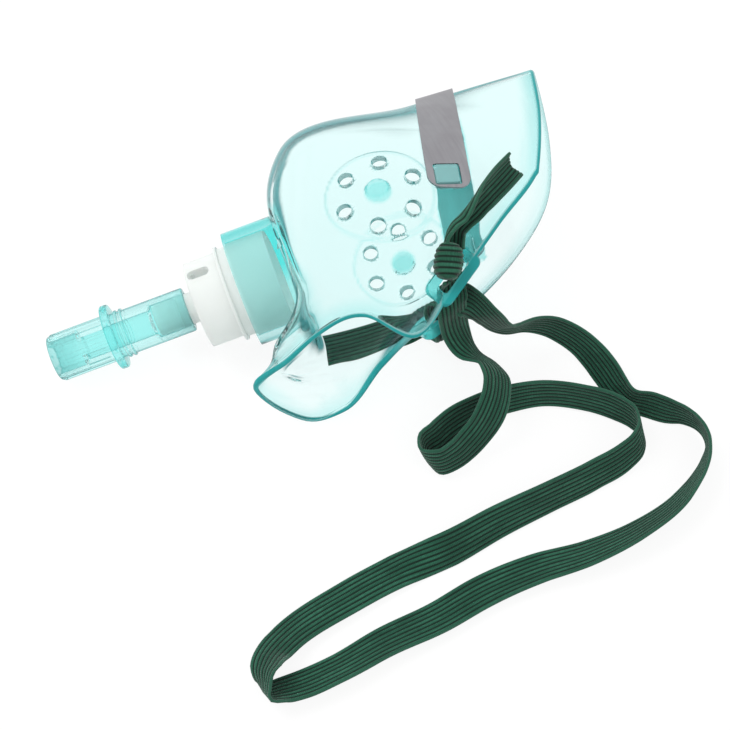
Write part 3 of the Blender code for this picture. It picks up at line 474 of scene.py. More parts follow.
def make_knot(name, middle, along, out):
    """Superellipsoid on two angles, its skin lifted by a cosine of the place along its axis."""
    rows = columns = KNOT_STEPS
    tilt = np.linspace(0.0, np.pi, rows + 2)[1:-1, None]
    turn = np.linspace(0.0, 2 * np.pi, columns, endpoint=False)[None, :]
    rounds = [np.cos(tilt) + 0 * turn, np.sin(tilt) * np.cos(turn), np.sin(tilt) * np.sin(turn)]
    lump = np.stack([np.sign(part) * np.abs(part) ** KNOT_SQUARE for part in rounds], axis=-1)
    wave = np.pi * KNOT_TURNS * (lump[..., 0] + KNOT_SLANT * lump[..., 1])
    swell = 1.0 + KNOT_SWELL * (np.sqrt(np.abs(np.cos(wave))) - KNOT_LEVEL)
    lump[..., 1:] *= swell[..., None]
    normal = unit(np.array(out, float))
    along = unit(np.array(along) - normal * np.dot(along, normal))
    axes = np.stack([along, np.cross(normal, along), normal])
    points = (lump * KNOT_HALF) @ axes + np.array(middle)
    ends = np.array([[KNOT_HALF[0], 0, 0], [-KNOT_HALF[0], 0, 0]]) @ axes + np.array(middle)
    points = np.vstack([points.reshape(-1, 3), ends])
    points[:, 2] = np.maximum(points[:, 2], TABLE_GAP)
    uv = np.stack([wave / np.pi + 0.5, turn / np.pi + 0 * tilt], axis=-1)
    uv = np.vstack([uv.reshape(-1, 2), [[0, 0], [0, 0]]])
    ring, count = np.arange(columns), rows * columns
    first = np.stack([np.full(columns, count), np.roll(ring, -1), ring], axis=1)
    last = np.stack([np.full(columns, count + 1), ring, np.roll(ring, -1)], axis=1)
    last[:, 1:] += count - columns
    knot = make_mesh(name, points * MM, grid_faces(rows, columns), np.vstack([first, last]), uv)
    turn_outwards(knot)
    return knot


near_knot = make_knot("near_knot", *NEAR_KNOT)
far_knot = make_knot("far_knot", *FAR_KNOT)
describe(near_knot)

# %% [markdown]
# The sleeve is knitted from matt yarn.  Its own map carries painted light: across the band the
# grooves between the cords get painted shade, and along it fine slanted stitches, the crowns of
# the cords and the band's edges get painted highlights.

# %% Covered elastic
# The deep green is painted shade in the grooves and also the random darker patches; the light green
# is a painted highlight.
GREEN_SHADE_AND_PATCHES = (0.001, 0.011, 0.006, 1.0)
GREEN_BODY = (0.006, 0.058, 0.032, 1.0)
GREEN_HIGHLIGHT = (0.040, 0.175, 0.108, 1.0)
STITCHES = 21.0
STITCH_SLANT = 0.9
CROWN = (0.20, 0.95)
STITCH_LIT = (-0.8, 1.0)
STITCH_SHARE = 0.35
STRAND_LIT = (0.38, 0.66, 0.0, 0.6)
PATCH_DARK = (0.35, 0.75, 0.0, 0.22)
EDGE_HIGHLIGHT = (0.455, 0.485, 0.0, 0.42)
YARN_SCALE = 900.0
PATCH_SCALE = 90.0
STRAND_SCALE = 1.4


def covered_elastic(name, ribs):
    """Green knitted sleeve over rubber cords: painted shade in its grooves and painted highlights
    on its crowns, stitches and edges, read from the map.
    """
    material, tree = new_material(name)
    parts = add(tree, "SeparateXYZ", {0: add(tree, "UVMap", uv_map="weave")}).node
    across, along = parts.outputs[0], parts.outputs[1]
    lane = sums(tree, "MULTIPLY", across, float(ribs))
    rib = sums(tree, "ABSOLUTE", sums(tree, "SINE", sums(tree, "MULTIPLY", lane, math.pi)))
    crown = span(tree, rib, *CROWN)
    slant = sums(tree, "MULTIPLY", sums(tree, "PINGPONG", lane, 0.5), STITCH_SLANT)
    stitch = sums(tree, "MULTIPLY_ADD", along, STITCHES, slant)
    stitch = sums(tree, "SINE", sums(tree, "MULTIPLY", stitch, 2 * math.pi))
    stitch = span(tree, stitch, *STITCH_LIT)
    where = add(tree, "TexCoord", out="Object")
    yarn = noise(tree, where, YARN_SCALE, 3.0)
    patches = noise(tree, where, PATCH_SCALE)
    strands = add(tree, "CombineXYZ", {"X": lane, "Y": sums(tree, "MULTIPLY", along, 0.5)})
    uneven = noise(tree, strands, STRAND_SCALE, 1.0)
    # Painted shade darkens the grooves between the cords, then painted highlights lighten the
    # crowns where stitches, strands and, on the flat strap, both edges are lit.
    colour = blend_colour(tree, crown, GREEN_SHADE_AND_PATCHES, GREEN_BODY)
    light = sums(tree, "MULTIPLY_ADD", stitch, STITCH_SHARE, span(tree, uneven, *STRAND_LIT))
    light = sums(tree, "MULTIPLY", sums(tree, "MULTIPLY", crown, light), yarn)
    if ribs > 1:
        edge = sums(tree, "ABSOLUTE", sums(tree, "SUBTRACT", across, 0.5))
        light = sums(tree, "MAXIMUM", light, span(tree, edge, *EDGE_HIGHLIGHT))
    colour = blend_colour(tree, light, colour, GREEN_HIGHLIGHT)
    colour = blend_colour(tree, span(tree, patches, *PATCH_DARK), colour, GREEN_SHADE_AND_PATCHES)
    height = sums(tree, "MULTIPLY_ADD", stitch, 0.6, sums(tree, "MULTIPLY", yarn, 0.5))
    inputs = {
        "Base Color": colour,
        "Roughness": 0.82,
        "Normal": bump(tree, height, 0.00012, 0.8),
        "Sheen Weight": 0.25,
        "Sheen Roughness": 0.4,
        "Specular IOR Level": 0.3,
    }
    finish_surface(tree, add(tree, "BsdfPrincipled", inputs))
    return material


elastic = covered_elastic("elastic", STRAP_RIBS)
elastic_knot = covered_elastic("elastic_knot", 1)
for piece in (strap, near_tail, far_tail):
    dress(piece, elastic)
for piece in (near_knot, far_knot):
    dress(piece, elastic_knot)
print("elastic materials ready")

# %% [markdown]
# The moulding is one thin wall.  Four closed loops carry it from the port to the rim: the
# port's circle, the edge of the flared front, the middle of the cheeks, and the rim, which is
# pushed out of true.  Each loop has a point at the same ten angles, counted from the nose.

# %% Loops of the moulding
PORT_RADIUS = 14.75
PORT_MOUTH = -22.3
PORT_BASE = -9.5
PORT_WALL = 2.4
CHEEK_WALL = 1.2
RIM_WALL = 1.5
RIM_BEAD = 1.3
STATIONS = (0, 22, 45, 68, 90, 112, 130, 150, 165, 180)
SHOULDER = (
    (-0.5, 35.8, 0.0), (-1.0, 31.0, 9.0), (-1.5, 21.5, 15.0), (-2.5, 9.5, 16.9),
    (-3.5, -2.0, 17.6), (-5.0, -12.0, 17.2), (-8.0, -19.0, 15.8), (-13.0, -22.5, 12.3),
    (-18.5, -24.5, 7.5), (-20.8, -25.0, 0.0),
)
CHEEK = (
    (34.0, 36.0, 0.0), (33.5, 30.0, 6.8), (32.0, 19.0, 12.8), (28.0, 7.0, 17.9),
    (19.5, -4.0, 20.0), (10.5, -14.0, 19.0), (2.0, -20.5, 17.6), (-7.0, -25.0, 15.8),
    (-15.5, -27.3, 9.8), (-23.8, -26.7, 0.0),
)
RIM_UPPER = (
    (67.6, 33.8, 0.0), (63.0, 14.5, 7.0), (56.0, -4.0, 10.6), (42.0, -15.3, 10.6),
    (27.5, -25.0, 7.4), (13.5, -35.5, 7.6), (4.0, -29.0, 13.6), (-7.0, -29.6, 14.4),
    (-17.0, -30.4, 9.2), (-26.8, -28.4, 0.0),
)
RIM_LOWER = (
    (67.6, 33.8, 0.0), (65.0, 17.5, -8.5), (58.0, 0.5, -11.0), (44.0, -14.0, -9.6),
    (26.3, -25.2, -7.2), (14.5, -25.6, -7.8), (4.0, -27.5, -13.5), (-8.0, -32.2, -18.6),
    (-18.5, -30.6, -17.6), (-26.8, -28.4, 0.0),
)
print("stations at", STATIONS, "degrees")

# %% [markdown]
# The wall's outer face is a grid that takes one angle round the port and one distance from the
# port's mouth.  Its columns stand close together on the cheeks, where the vents are cut.

# %% Outer face of the moulding
VENT_COLUMNS = (48.0, 132.0, 92)
CHIN_COLUMNS = (132.0, 228.0, 56)
NOSE_COLUMNS = (312.0, 408.0, 56)
FRONT_FLARE = (0.25, 0.5, 0.5)
PORT_STEPS = 10
FRONT_STEPS = 18
SHOULDER_STEPS = 44
RIM_STEPS = 50
BEAD_STEPS = 6


def closed_loop(upper, lower, angles):
    """Smooth closed curve through the stations of the upper cheek and back along the lower."""
    knots = np.concatenate([STATIONS, 360.0 - np.array(STATIONS[-2:0:-1])])
    points = np.vstack([upper, np.array(lower)[-2:0:-1]])
    wrap = 3
    knots = np.concatenate([knots[-wrap:] - 360.0, knots, knots[:wrap] + 360.0])
    points = np.vstack([points[-wrap:], points, points[:wrap]])
    return hermite(knots, points, angles)


def mirrored(loop):
    """The same loop on the lower cheek."""
    return np.array(loop) * (1, 1, -1)


def port_circle(angles, place):
    """Circle round the port's axis, at angles measured from the nose."""
    turn = np.radians(angles)
    around = [np.full_like(turn, place), PORT_RADIUS * np.cos(turn), PORT_RADIUS * np.sin(turn)]
    return np.stack(around, axis=1)


def column_angles():
    """Angles round the port: close together on the cheeks, where the vents are, wider between."""
    spans = (VENT_COLUMNS, CHIN_COLUMNS, NOSE_COLUMNS)
    vents, chin, nose = [np.linspace(*columns, endpoint=False) for columns in spans]
    return np.concatenate([vents, chin, vents + 180.0, nose])


def outer_surface(angles):
    """Grid of the moulding's outer surface: a smooth path from mouth to rim at each angle."""
    mouth, base = port_circle(angles, PORT_MOUTH), port_circle(angles, PORT_BASE)
    shoulder = closed_loop(SHOULDER, mirrored(SHOULDER), angles)
    cheek = closed_loop(CHEEK, mirrored(CHEEK), angles)
    rim = closed_loop(RIM_UPPER, RIM_LOWER, angles)
    front = base + (shoulder - base) * np.array(FRONT_FLARE)
    port = mouth + (base - mouth) * (np.arange(PORT_STEPS) / PORT_STEPS)[:, None, None]
    columns = []
    for path in np.stack([base, front, shoulder, cheek, rim], axis=1):
        reach = reach_along(path)
        places = np.concatenate([
            np.linspace(reach[0], reach[2], FRONT_STEPS, endpoint=False),
            np.linspace(reach[2], reach[3], SHOULDER_STEPS, endpoint=False),
            np.linspace(reach[3], reach[4], RIM_STEPS + 1),
        ])
        columns.append(hermite(reach, path, places))
    return np.concatenate([port, np.stack(columns, axis=1)])


def grid_normals(grid):
    """Unit normals from the steps along rows and columns; the columns close on themselves."""
    along = np.gradient(grid, axis=0)
    around = np.roll(grid, -1, axis=1) - np.roll(grid, 1, axis=1)
    normals = unit(np.cross(around, along))
    outward = grid * (0, 1, 1)
    if np.sum(normals * outward) < 0:
        normals = -normals
    return normals


outer = outer_surface(column_angles())
outer_normals = grid_normals(outer)
past_rim = unit(outer[-1] - outer[-3])
print("moulding grid", outer.shape[:2])

# %% [markdown]
# Each cheek has a round vent disc: a step in the wall, a domed boss in its middle, and six
# holes.  The step and the boss are a height added along the normals, a smooth function of the
# distance from the disc's middle.  The wall is then an inner copy of the surface, and its rim
# is closed by half a circle, which makes the bead that looks like a solid teal line.

# %% Wall of the moulding
VENT_CENTRE = {1: np.array([17.3, -1.6]), -1: np.array([18.8, 4.0])}
VENT_DISC_RADIUS = 13.0
VENT_DISC_HEIGHT = 0.4
VENT_STEP = 0.5
BOSS_RADIUS = 2.9
BOSS_HEIGHT = 1.1
BOSS_ROUND = 1.6
# From this far on either side of the mask's middle plane, a point belongs to a disc's cheek.
CHEEK_SIDE = 9.0
FADE_ROWS = 6.0
SWOLLEN_ROW = 40
SWOLLEN_SHARE = 0.35
EDGE_STEPS = 9


def smooth(value):
    """Smooth step from 0 to 1."""
    value = np.clip(value, 0.0, 1.0)
    return value * value * (3 - 2 * value)


def disc_height(grid):
    """Height of the vent disc and its boss, from the distance to the disc's middle."""
    height = np.zeros(grid.shape[:-1])
    for side, centre in VENT_CENTRE.items():
        away = np.linalg.norm(grid[..., :2] - centre, axis=-1)
        step = VENT_DISC_HEIGHT * smooth((VENT_DISC_RADIUS + VENT_STEP - away) / (2 * VENT_STEP))
        dome = np.sqrt(np.clip(1.0 - (away / BOSS_RADIUS) ** 2, 0.0, 1.0))
        boss = BOSS_HEIGHT * smooth(BOSS_ROUND * dome)
        height += (grid[..., 2] * side > CHEEK_SIDE) * (step + boss)
    return height


def wall_thickness(rows):
    """Wall of each row: the port's, then the cheek's, then a bead along the rim."""
    row = np.arange(rows)
    port = smooth((PORT_STEPS + FADE_ROWS / 2 - row) / FADE_ROWS)
    bead = smooth((row - (rows - 1 - BEAD_STEPS)) / BEAD_STEPS)
    wall = CHEEK_WALL + (PORT_WALL - CHEEK_WALL) * port + (RIM_WALL - CHEEK_WALL) * bead
    return wall[:, None, None]


def make_moulding():
    """Closed wall: outer grid, half a circle round the rim, and the inner grid back."""
    thickness = wall_thickness(len(outer))
    top = outer + outer_normals * disc_height(outer)[..., None]
    near_rim = (np.arange(len(outer)) > SWOLLEN_ROW)[:, None, None]
    swollen = SWOLLEN_SHARE * (thickness - CHEEK_WALL) * near_rim
    top = top + outer_normals * swollen
    under = outer + outer_normals * (swollen - thickness)
    middle = (top[-1] + under[-1]) / 2
    radius = RIM_BEAD / 2 * unit(top[-1] - middle)
    turn = np.linspace(0.0, np.pi, EDGE_STEPS)[1:-1, None, None]
    edge = middle + radius * np.cos(turn) + past_rim * RIM_BEAD / 2 * np.sin(turn)
    points = on_table(np.concatenate([top, edge, under[::-1]]))
    points[..., 2] = np.maximum(points[..., 2], TABLE_GAP * MM)
    faces = grid_faces(*points.shape[:2], loop_rows=True)
    moulding = make_mesh("soft_moulding", points, faces)
    print("wall volume", round(turn_outwards(moulding) * 1e6, 2), "cm3")
    return moulding


moulding = make_moulding()
describe(moulding)

# %% [markdown]
# What the wall lacks is cut or added by exact booleans, as a mould's pins and inserts would
# shape it: vent holes, the two ears with their slots, and the square lugs that hold the clip.
# Each insert is a prism of an outline that stands on the wall's normal.

# %% Prisms and booleans
VENT_RING_RADIUS = 9.4
VENT_HOLE_RADIUS = 1.9
VENT_HOLES = 6
VENT_PHASE = {1: 13.0, -1: 20.0}
# A wall point nearer than this to the middle plane is never taken for one of a cheek.
CHEEK_FOOT = 5.0
OUT_OF_REACH = 1e3
MOULDING_CREASE = math.radians(38.0)


def wall_at(x, y, side):
    """Point of the outer surface over a place in the mask's plane, and its unit normal."""
    away = np.linalg.norm(outer[..., :2] - (x, y), axis=-1)
    away += OUT_OF_REACH * (outer[..., 2] * side < CHEEK_FOOT)
    row, column = np.unravel_index(np.argmin(away), away.shape)
    return outer[row, column], outer_normals[row, column]


def frame_on(point, normal, along):
    """Axes along, side and normal at a point."""
    normal = unit(np.asarray(normal, float))
    along = unit(along - normal * np.dot(along, normal))
    return np.array(point), np.stack([along, np.cross(normal, along), normal])


def rounded_outline(length, width, radius, steps=5):
    """Rectangle with round corners, anticlockwise."""
    turn = np.radians(90.0 * np.arange(4)[:, None] + np.linspace(0.0, 90.0, steps + 1)).ravel()
    corner_x = np.repeat([1, -1, -1, 1], steps + 1) * (length / 2 - radius)
    corner_y = np.repeat([1, 1, -1, -1], steps + 1) * (width / 2 - radius)
    return np.stack([corner_x + radius * np.cos(turn), corner_y + radius * np.sin(turn)], axis=1)


def round_outline(radius, steps=40):
    """Circle, anticlockwise."""
    turn = np.linspace(0.0, 2 * np.pi, steps, endpoint=False)
    return radius * np.stack([np.cos(turn), np.sin(turn)], axis=1)


def make_prism(name, outline, levels, seat):
    """Rings of the outline at (height, inset) levels in a frame, closed at both ends."""
    middle, axes = seat
    heights, insets = np.array(levels, float).T
    flat = outline - unit(outline) * insets[:, None, None]
    lifted = np.broadcast_to(heights[:, None], flat.shape[:2])[..., None]
    return make_tube(name, on_table(np.concatenate([flat, lifted], axis=-1) @ axes + middle))


def join_and_cut(piece, others, operation):
    """Join or cut a piece with separate solids, one exact boolean for each, then keep the mesh."""
    for other in others:
        change = piece.modifiers.new(operation, "BOOLEAN")
        change.operation = operation
        change.solver = "EXACT"
        change.object = other
    graph = bpy.context.evaluated_depsgraph_get()
    finished = bpy.data.meshes.new_from_object(piece.evaluated_get(graph))
    piece.modifiers.clear()
    piece.data = finished
    for other in others:
        bpy.data.objects.remove(other, do_unlink=True)


def joined(name, solids):
    """Several separate solids as one mesh object."""
    points, faces, start = [], [], 0
    for solid in solids:
        points += [vertex.co[:] for vertex in solid.data.vertices]
        faces += [[start + corner for corner in face.vertices] for face in solid.data.polygons]
        start += len(solid.data.vertices)
        bpy.data.objects.remove(solid, do_unlink=True)
    mesh = bpy.data.meshes.new(name)
    mesh.from_pydata(points, [], faces)
    return new_object(name, mesh)


print("prism helpers ready")

# %% [markdown]
# The ears are thick plates at the rim with a slot each, and the lugs stand square through the
# ends of the nose clip.  Their places follow from the same loops as the wall.

# %% Ears, lugs and vents
EAR_SIZE = (15.0, 7.5)
EAR_OUTLINE = rounded_outline(*EAR_SIZE, 2.0)
EAR_HALF = 1.2
EAR_EDGE = 0.4
EAR_INSET = 0.35
EAR_REACH = 1.55
EAR_PLACE = {1: 4.0, -1: 4.28}
SLOT_OUTLINE = rounded_outline(10.0, 2.6, 0.8)
SLOT_CUT = ((-5, 0), (5, 0))
VENT_CUT = ((-4, 0), (4, 0))
CLIP_SEAT = np.array([41.6, 36.0, 0.0])
CLIP_SLANT = math.radians(10.8)
CLIP_ACROSS = np.array([math.cos(CLIP_SLANT), -math.sin(CLIP_SLANT), 0.0])
CLIP_DOWN = np.array([-math.sin(CLIP_SLANT), -math.cos(CLIP_SLANT), 0.0])
LUG_DROP = 38.0
LUG_LEVELS = ((-0.6, 0.0), (1.1, 0.0), (1.4, 0.3))
LUG_SIZE = (6.0, 5.5)
LUG_CORNER = 0.6
FIT = 0.3


def between(loop, place):
    """Point on the straight line between two stations of a loop."""
    first = int(place)
    share = place - first
    return np.array(loop[first]) * (1 - share) + np.array(loop[first + 1]) * share


def ear_seat(side):
    """Frame at the middle of an ear: along the rim, and out of the wall."""
    rim, place = (RIM_UPPER if side > 0 else RIM_LOWER), EAR_PLACE[side]
    edge = between(rim, place)
    along = unit(between(rim, place - 1) - between(rim, place + 1))
    inward = unit(between(CHEEK, place) * (1, 1, side) - edge)
    normal = np.cross(inward, along)
    normal = normal * np.sign(normal[2] * side)
    return frame_on(edge + inward * EAR_REACH - normal * CHEEK_WALL / 2, normal, along)


def lug_seat(side):
    """Frame at the foot of a lug, square to the clip."""
    foot = CLIP_SEAT + CLIP_DOWN * LUG_DROP
    return frame_on(*wall_at(foot[0], foot[1], side), CLIP_ACROSS)


def vent_seats(side):
    """Frames of the holes, evenly spaced round the vent disc."""
    turns = np.radians(VENT_PHASE[side] + 360.0 * np.arange(VENT_HOLES) / VENT_HOLES)
    places = VENT_CENTRE[side] + VENT_RING_RADIUS * np.stack([np.cos(turns), np.sin(turns)], axis=1)
    return [frame_on(*wall_at(x, y, side), (1.0, 0.0, 0.0)) for x, y in places]


ear_sides = ((-EAR_HALF, EAR_INSET), (EAR_EDGE - EAR_HALF, 0.0))
ear_levels = (*ear_sides, *[(-height, inset) for height, inset in ear_sides[::-1]])
lug_outline = rounded_outline(*LUG_SIZE, LUG_CORNER)
vent_outline = round_outline(VENT_HOLE_RADIUS)
inserts = [make_prism("ear", EAR_OUTLINE, ear_levels, ear_seat(side)) for side in (1, -1)]
inserts += [make_prism("lug", lug_outline, LUG_LEVELS, lug_seat(side)) for side in (1, -1)]
pins = [make_prism("slot", SLOT_OUTLINE, SLOT_CUT, ear_seat(side)) for side in (1, -1)]
for seat in vent_seats(1) + vent_seats(-1):
    pins.append(make_prism("vent", vent_outline, VENT_CUT, seat))
join_and_cut(moulding, [joined("inserts", inserts)], "UNION")
join_and_cut(moulding, [joined("pins", pins)], "DIFFERENCE")
moulding.data.set_sharp_from_angle(angle=MOULDING_CREASE)
describe(moulding)

# %% [markdown]
# Colour that depends on the place needs a few measures: a fade with distance, the distance
# inside the rim's bead, and places in the frame of the mask, of an ear or of a lug.

# %% Fades and places


def spread(distance, full, none, share=1.0):
    """A share up to the first distance, then smoothly down to zero at the second."""
    return share * smooth((none - distance) / (none - full))


def nearest(points, targets):
    """Number of the target nearest to each point, two thousand points at a time."""
    parts = np.array_split(points, 1 + len(points) // 2000)
    gaps = [np.linalg.norm(part[:, None] - targets, axis=-1).argmin(axis=1) for part in parts]
    return np.concatenate(gaps)


def inside_rim(places):
    """How far each point lies inside the bead's middle line, measured along the wall."""
    line = outer[-1] - outer_normals[-1] * RIM_WALL / 2
    closest = nearest(places, line)
    return -np.sum((places - line[closest]) * past_rim[closest], axis=1)


def mask_places(piece):
    """The piece's points in the mask's frame, in millimetres."""
    return (vertex_places(piece.data) / MM - LIE) @ TURN


def in_seat(places, seat):
    """Places in the frame of a seat."""
    middle, axes = seat
    return (places - middle) @ axes.T


def inside_box(places, seat, half):
    """True for places in a box round the middle of a seat, which is given by its half sizes."""
    return (np.abs(in_seat(places, seat)) < half).all(axis=1)


def paint(piece, values):
    """Store a value per point of the mesh under each name."""
    for name, value in values.items():
        layer = piece.data.attributes.new(name, "FLOAT", "POINT")
        layer.data.foreach_set("value", value.astype(np.float32))


print("fade helpers ready")

# %% [markdown]
# The vinyl isn't one even colour.  Its bead, ears, lugs and the walls of its holes look solid
# and teal, the port and the bosses look deeper, and a fine line runs round each vent disc.
# Painted shade darkens the port's nose side, and the lower cheek where the clip's far leg lies
# behind it.  Two values per point carry that, worked out from the point's place in the mask's
# frame.

# %% Depth of colour and painted shade
# A fade gives the places of full and of no colour, and its share where that isn't one.
RIM_SOLID = (0.0, 0.5)
RIM_TINT = (0.0, 5.0, 0.3)
FAR_NOSE_START = 5.0
FAR_NOSE_REACH = 20.0
FAR_SOLID_LOSS = 0.7
FAR_TINT_LOSS = 0.5
PORT_TINT = 0.33
# Painted shade on the port's nose side, added to the tint of its thick wall.
PORT_NOSE_SHADE = (38.0, 75.0, 1.0 - PORT_TINT)
PORT_FOOT = (PORT_RADIUS + 0.5, PORT_RADIUS + 4.0)
PORT_END = (PORT_BASE, PORT_BASE + 6.0)
# Painted shade on the lower cheek behind the clip's far leg: its share and its patch.
CLIP_LEG_SHADE = 0.55
CLIP_LEG_SHADE_HALF = 5.2
CLIP_LEG_SHADE_DOWN = (4.0, 45.0)
CLIP_LEG_SHADE_SIDE = -5.0
DISC_LINE = (0.10, 0.45, 0.30)
BOSS_LINE = (0.15, 0.6, 0.35)
BOSS_TINT = (BOSS_RADIUS - 0.5, BOSS_RADIUS + 0.2, 0.55)
BOSS_SOLID = (BOSS_RADIUS - 0.5, BOSS_RADIUS, 0.15)
HOLE_WALL = (0.08, 4.0, 0.7)
EAR_BOX = (EAR_SIZE[0] / 2 + 0.1, EAR_SIZE[1] / 2 + 0.1, EAR_HALF + 0.1)
EAR_SOLID = 0.30
LUG_BOX = (LUG_SIZE[0] / 2 + 0.05, LUG_SIZE[1] / 2 + 0.05, 1.9)
LUG_SOLID = 0.75


def port_tint_and_shade(places):
    """Tint of the port's thick wall, plus painted shade that is deepest towards the nose; both are
    gone beyond its foot and its end.
    """
    foot = spread(np.hypot(places[:, 1], places[:, 2]), *PORT_FOOT)
    from_nose = np.degrees(np.abs(np.arctan2(places[:, 2], places[:, 1])))
    return (PORT_TINT + spread(from_nose, *PORT_NOSE_SHADE)) * foot * spread(places[:, 0], *PORT_END)


def clip_leg_shade(places):
    """Painted shade on the lower cheek where the clip's far leg lies behind it."""
    across, down = (places - CLIP_SEAT) @ CLIP_ACROSS, (places - CLIP_SEAT) @ CLIP_DOWN
    behind_leg = (np.abs(across) < CLIP_LEG_SHADE_HALF) * (down > CLIP_LEG_SHADE_DOWN[0]) * (down < CLIP_LEG_SHADE_DOWN[1])
    return CLIP_LEG_SHADE * behind_leg * (places[:, 2] < CLIP_LEG_SHADE_SIDE)


def disc_depth(places, side):
    """Solid and tint values of a vent disc: its line, its boss and the walls of its holes."""
    cheek = places[:, 2] * side > CHEEK_SIDE
    away = np.linalg.norm(places[:, :2] - VENT_CENTRE[side], axis=1)
    tint = spread(np.abs(away - VENT_DISC_RADIUS), *DISC_LINE) + spread(away, *BOSS_TINT)
    tint += spread(np.abs(away - BOSS_RADIUS), *BOSS_LINE)
    solid = cheek * spread(away, *BOSS_SOLID)
    near, half, share = HOLE_WALL
    for seat in vent_seats(side):
        local = in_seat(places, seat)
        gap = np.abs(np.linalg.norm(local[:, :2], axis=1) - VENT_HOLE_RADIUS)
        solid = np.maximum(solid, share * (gap < near) * (np.abs(local[:, 2]) < half))
    return solid, cheek * tint


def colour_depth(places):
    """Solid and tint values of the moulding's points, each from 0 to 1."""
    rim = inside_rim(places)
    far_nose = (places[:, 2] < 0) * smooth((places[:, 0] - FAR_NOSE_START) / FAR_NOSE_REACH)
    solid = spread(rim, *RIM_SOLID) * (1.0 - FAR_SOLID_LOSS * far_nose)
    tint = spread(rim, *RIM_TINT) * (1.0 - FAR_TINT_LOSS * far_nose)
    # The port's nose side and the cheek behind the clip's far leg take painted shade here.
    tint = np.maximum.reduce([tint, port_tint_and_shade(places), clip_leg_shade(places)])
    for side in VENT_CENTRE:
        disc_solid, disc_tint = disc_depth(places, side)
        ear = inside_box(places, ear_seat(side), EAR_BOX)
        lug = inside_box(places, lug_seat(side), LUG_BOX)
        solid = np.maximum.reduce([solid, disc_solid, EAR_SOLID * ear, LUG_SOLID * lug])
        tint = np.maximum.reduce([tint, disc_tint, 1.0 * ear])
    return {"solid": solid, "tint": np.clip(tint, 0.0, 1.0)}


depths = colour_depth(mask_places(moulding))
paint(moulding, depths)
print("solid points", int((depths["solid"] > 0.5).sum()), "of", len(depths["solid"]))

# %% [markdown]
# Clear plastics bend light at both faces of their wall and take some red out of it on the way,
# so a wall seen face on is nearly white and the same wall is teal where it is seen along its
# edge.  That is a Principled shader with full transmission, whose colour deepens where the
# outer face turns away and where the painted values say so; a tinted place darkens more as it
# turns away than a clear one.  Lamps shine through it by a transparent shader on shadow rays,
# which keeps the shadow on the table pale.

# %% Clear plastics
VINYL_CLEAR = (0.88, 0.993, 0.99, 1.0)
TINTED_CLEAR = (0.72, 0.985, 0.975, 1.0)
TEAL_GLASS = (0.15, 0.83, 0.81, 1.0)
TEAL_SOLID = (0.018, 0.270, 0.270, 1.0)
EDGE_GLASS = (0.012, 0.13, 0.14, 1.0)
PALE_SHADOW = (0.86, 0.97, 0.965, 1.0)
SILHOUETTE = (0.52, 0.70)
DEEP_TURN = (0.15, 0.65, 0.0, 1.5)
SMEAR = (0.45, 0.8)
SMEAR_ROUGHNESS = 0.06
SOLID_LOSS = -0.9


def clear_plastic(name, clear, ior, roughness, ripple_scale, ripple):
    """Painted glass shader with a faint moulded ripple and a pale shadow."""
    material, tree = new_material(name)
    where = add(tree, "TexCoord", out="Object")
    ripples = noise(tree, where, ripple_scale)
    smears = noise(tree, where, 45.0, 3.0)
    turned = add(tree, "LayerWeight", {"Blend": 0.5}, out="Facing")
    outside = sums(tree, "SUBTRACT", 1.0, add(tree, "NewGeometry", out="Backfacing"))
    deep = add(tree, "Attribute", out="Fac", attribute_name="tint")
    solid = add(tree, "Attribute", out="Fac", attribute_name="solid")
    thick = sums(tree, "MULTIPLY", deep, span(tree, turned, *DEEP_TURN))
    facing = sums(tree, "MAXIMUM", span(tree, turned, *SILHOUETTE), thick)
    colour = blend_colour(tree, sums(tree, "MULTIPLY", facing, outside), clear, EDGE_GLASS)
    colour = blend_colour(tree, deep, colour, TEAL_GLASS)
    inputs = {
        "Base Color": blend_colour(tree, solid, colour, TEAL_SOLID),
        "Roughness": span(tree, smears, *SMEAR, roughness, roughness + SMEAR_ROUGHNESS),
        "Normal": bump(tree, ripples, ripple, 0.35),
        "Transmission Weight": sums(tree, "MULTIPLY_ADD", solid, SOLID_LOSS, 1.0),
        "IOR": ior,
    }
    glass = add(tree, "BsdfPrincipled", inputs)
    pale = add(tree, "BsdfTransparent", {"Color": PALE_SHADOW})
    lamps = add(tree, "LightPath", out="Is Shadow Ray")
    finish_surface(tree, add(tree, "MixShader", {0: lamps, 1: glass, 2: pale}))
    return material


vinyl_look = {"ior": 1.22, "roughness": 0.02, "ripple_scale": 260.0, "ripple": 0.00005}
tinted_look = {"ior": 1.30, "roughness": 0.10, "ripple_scale": 400.0, "ripple": 0.00004}
vinyl = clear_plastic("clear_vinyl", VINYL_CLEAR, **vinyl_look)
tinted = clear_plastic("tinted_plastic", TINTED_CLEAR, **tinted_look)
dress(moulding, vinyl)
print("clear plastics ready")

# %% [markdown]
# The nose clip is a strip of soft aluminium folded over the ridge of the nose.  Seven planes
# side by side cut the wall in seven lines, which are read at even distances from the ridge, and
# the strip is a grid between those lines.  A corner radius narrows its two ends, and the lugs
# pass through a square hole in each end.

# %% Lines below the nose clip
CLIP_WIDTH = 10.0
CLIP_LEG = 46.0
CLIP_THICKNESS = 0.6
CLIP_STANDOFF = 0.6
CLIP_CORNER = 2.8
CLIP_ROWS = 170
CLIP_COLUMNS = 15
CLIP_PLANES = 7
CLIP_END = 0.985
CLIP_SPARE = 6.0
CLIP_CREASE = math.radians(40.0)
FAN_DEPTH = 14.0
HOLE_CUT = ((-2, 0), (4, 0))


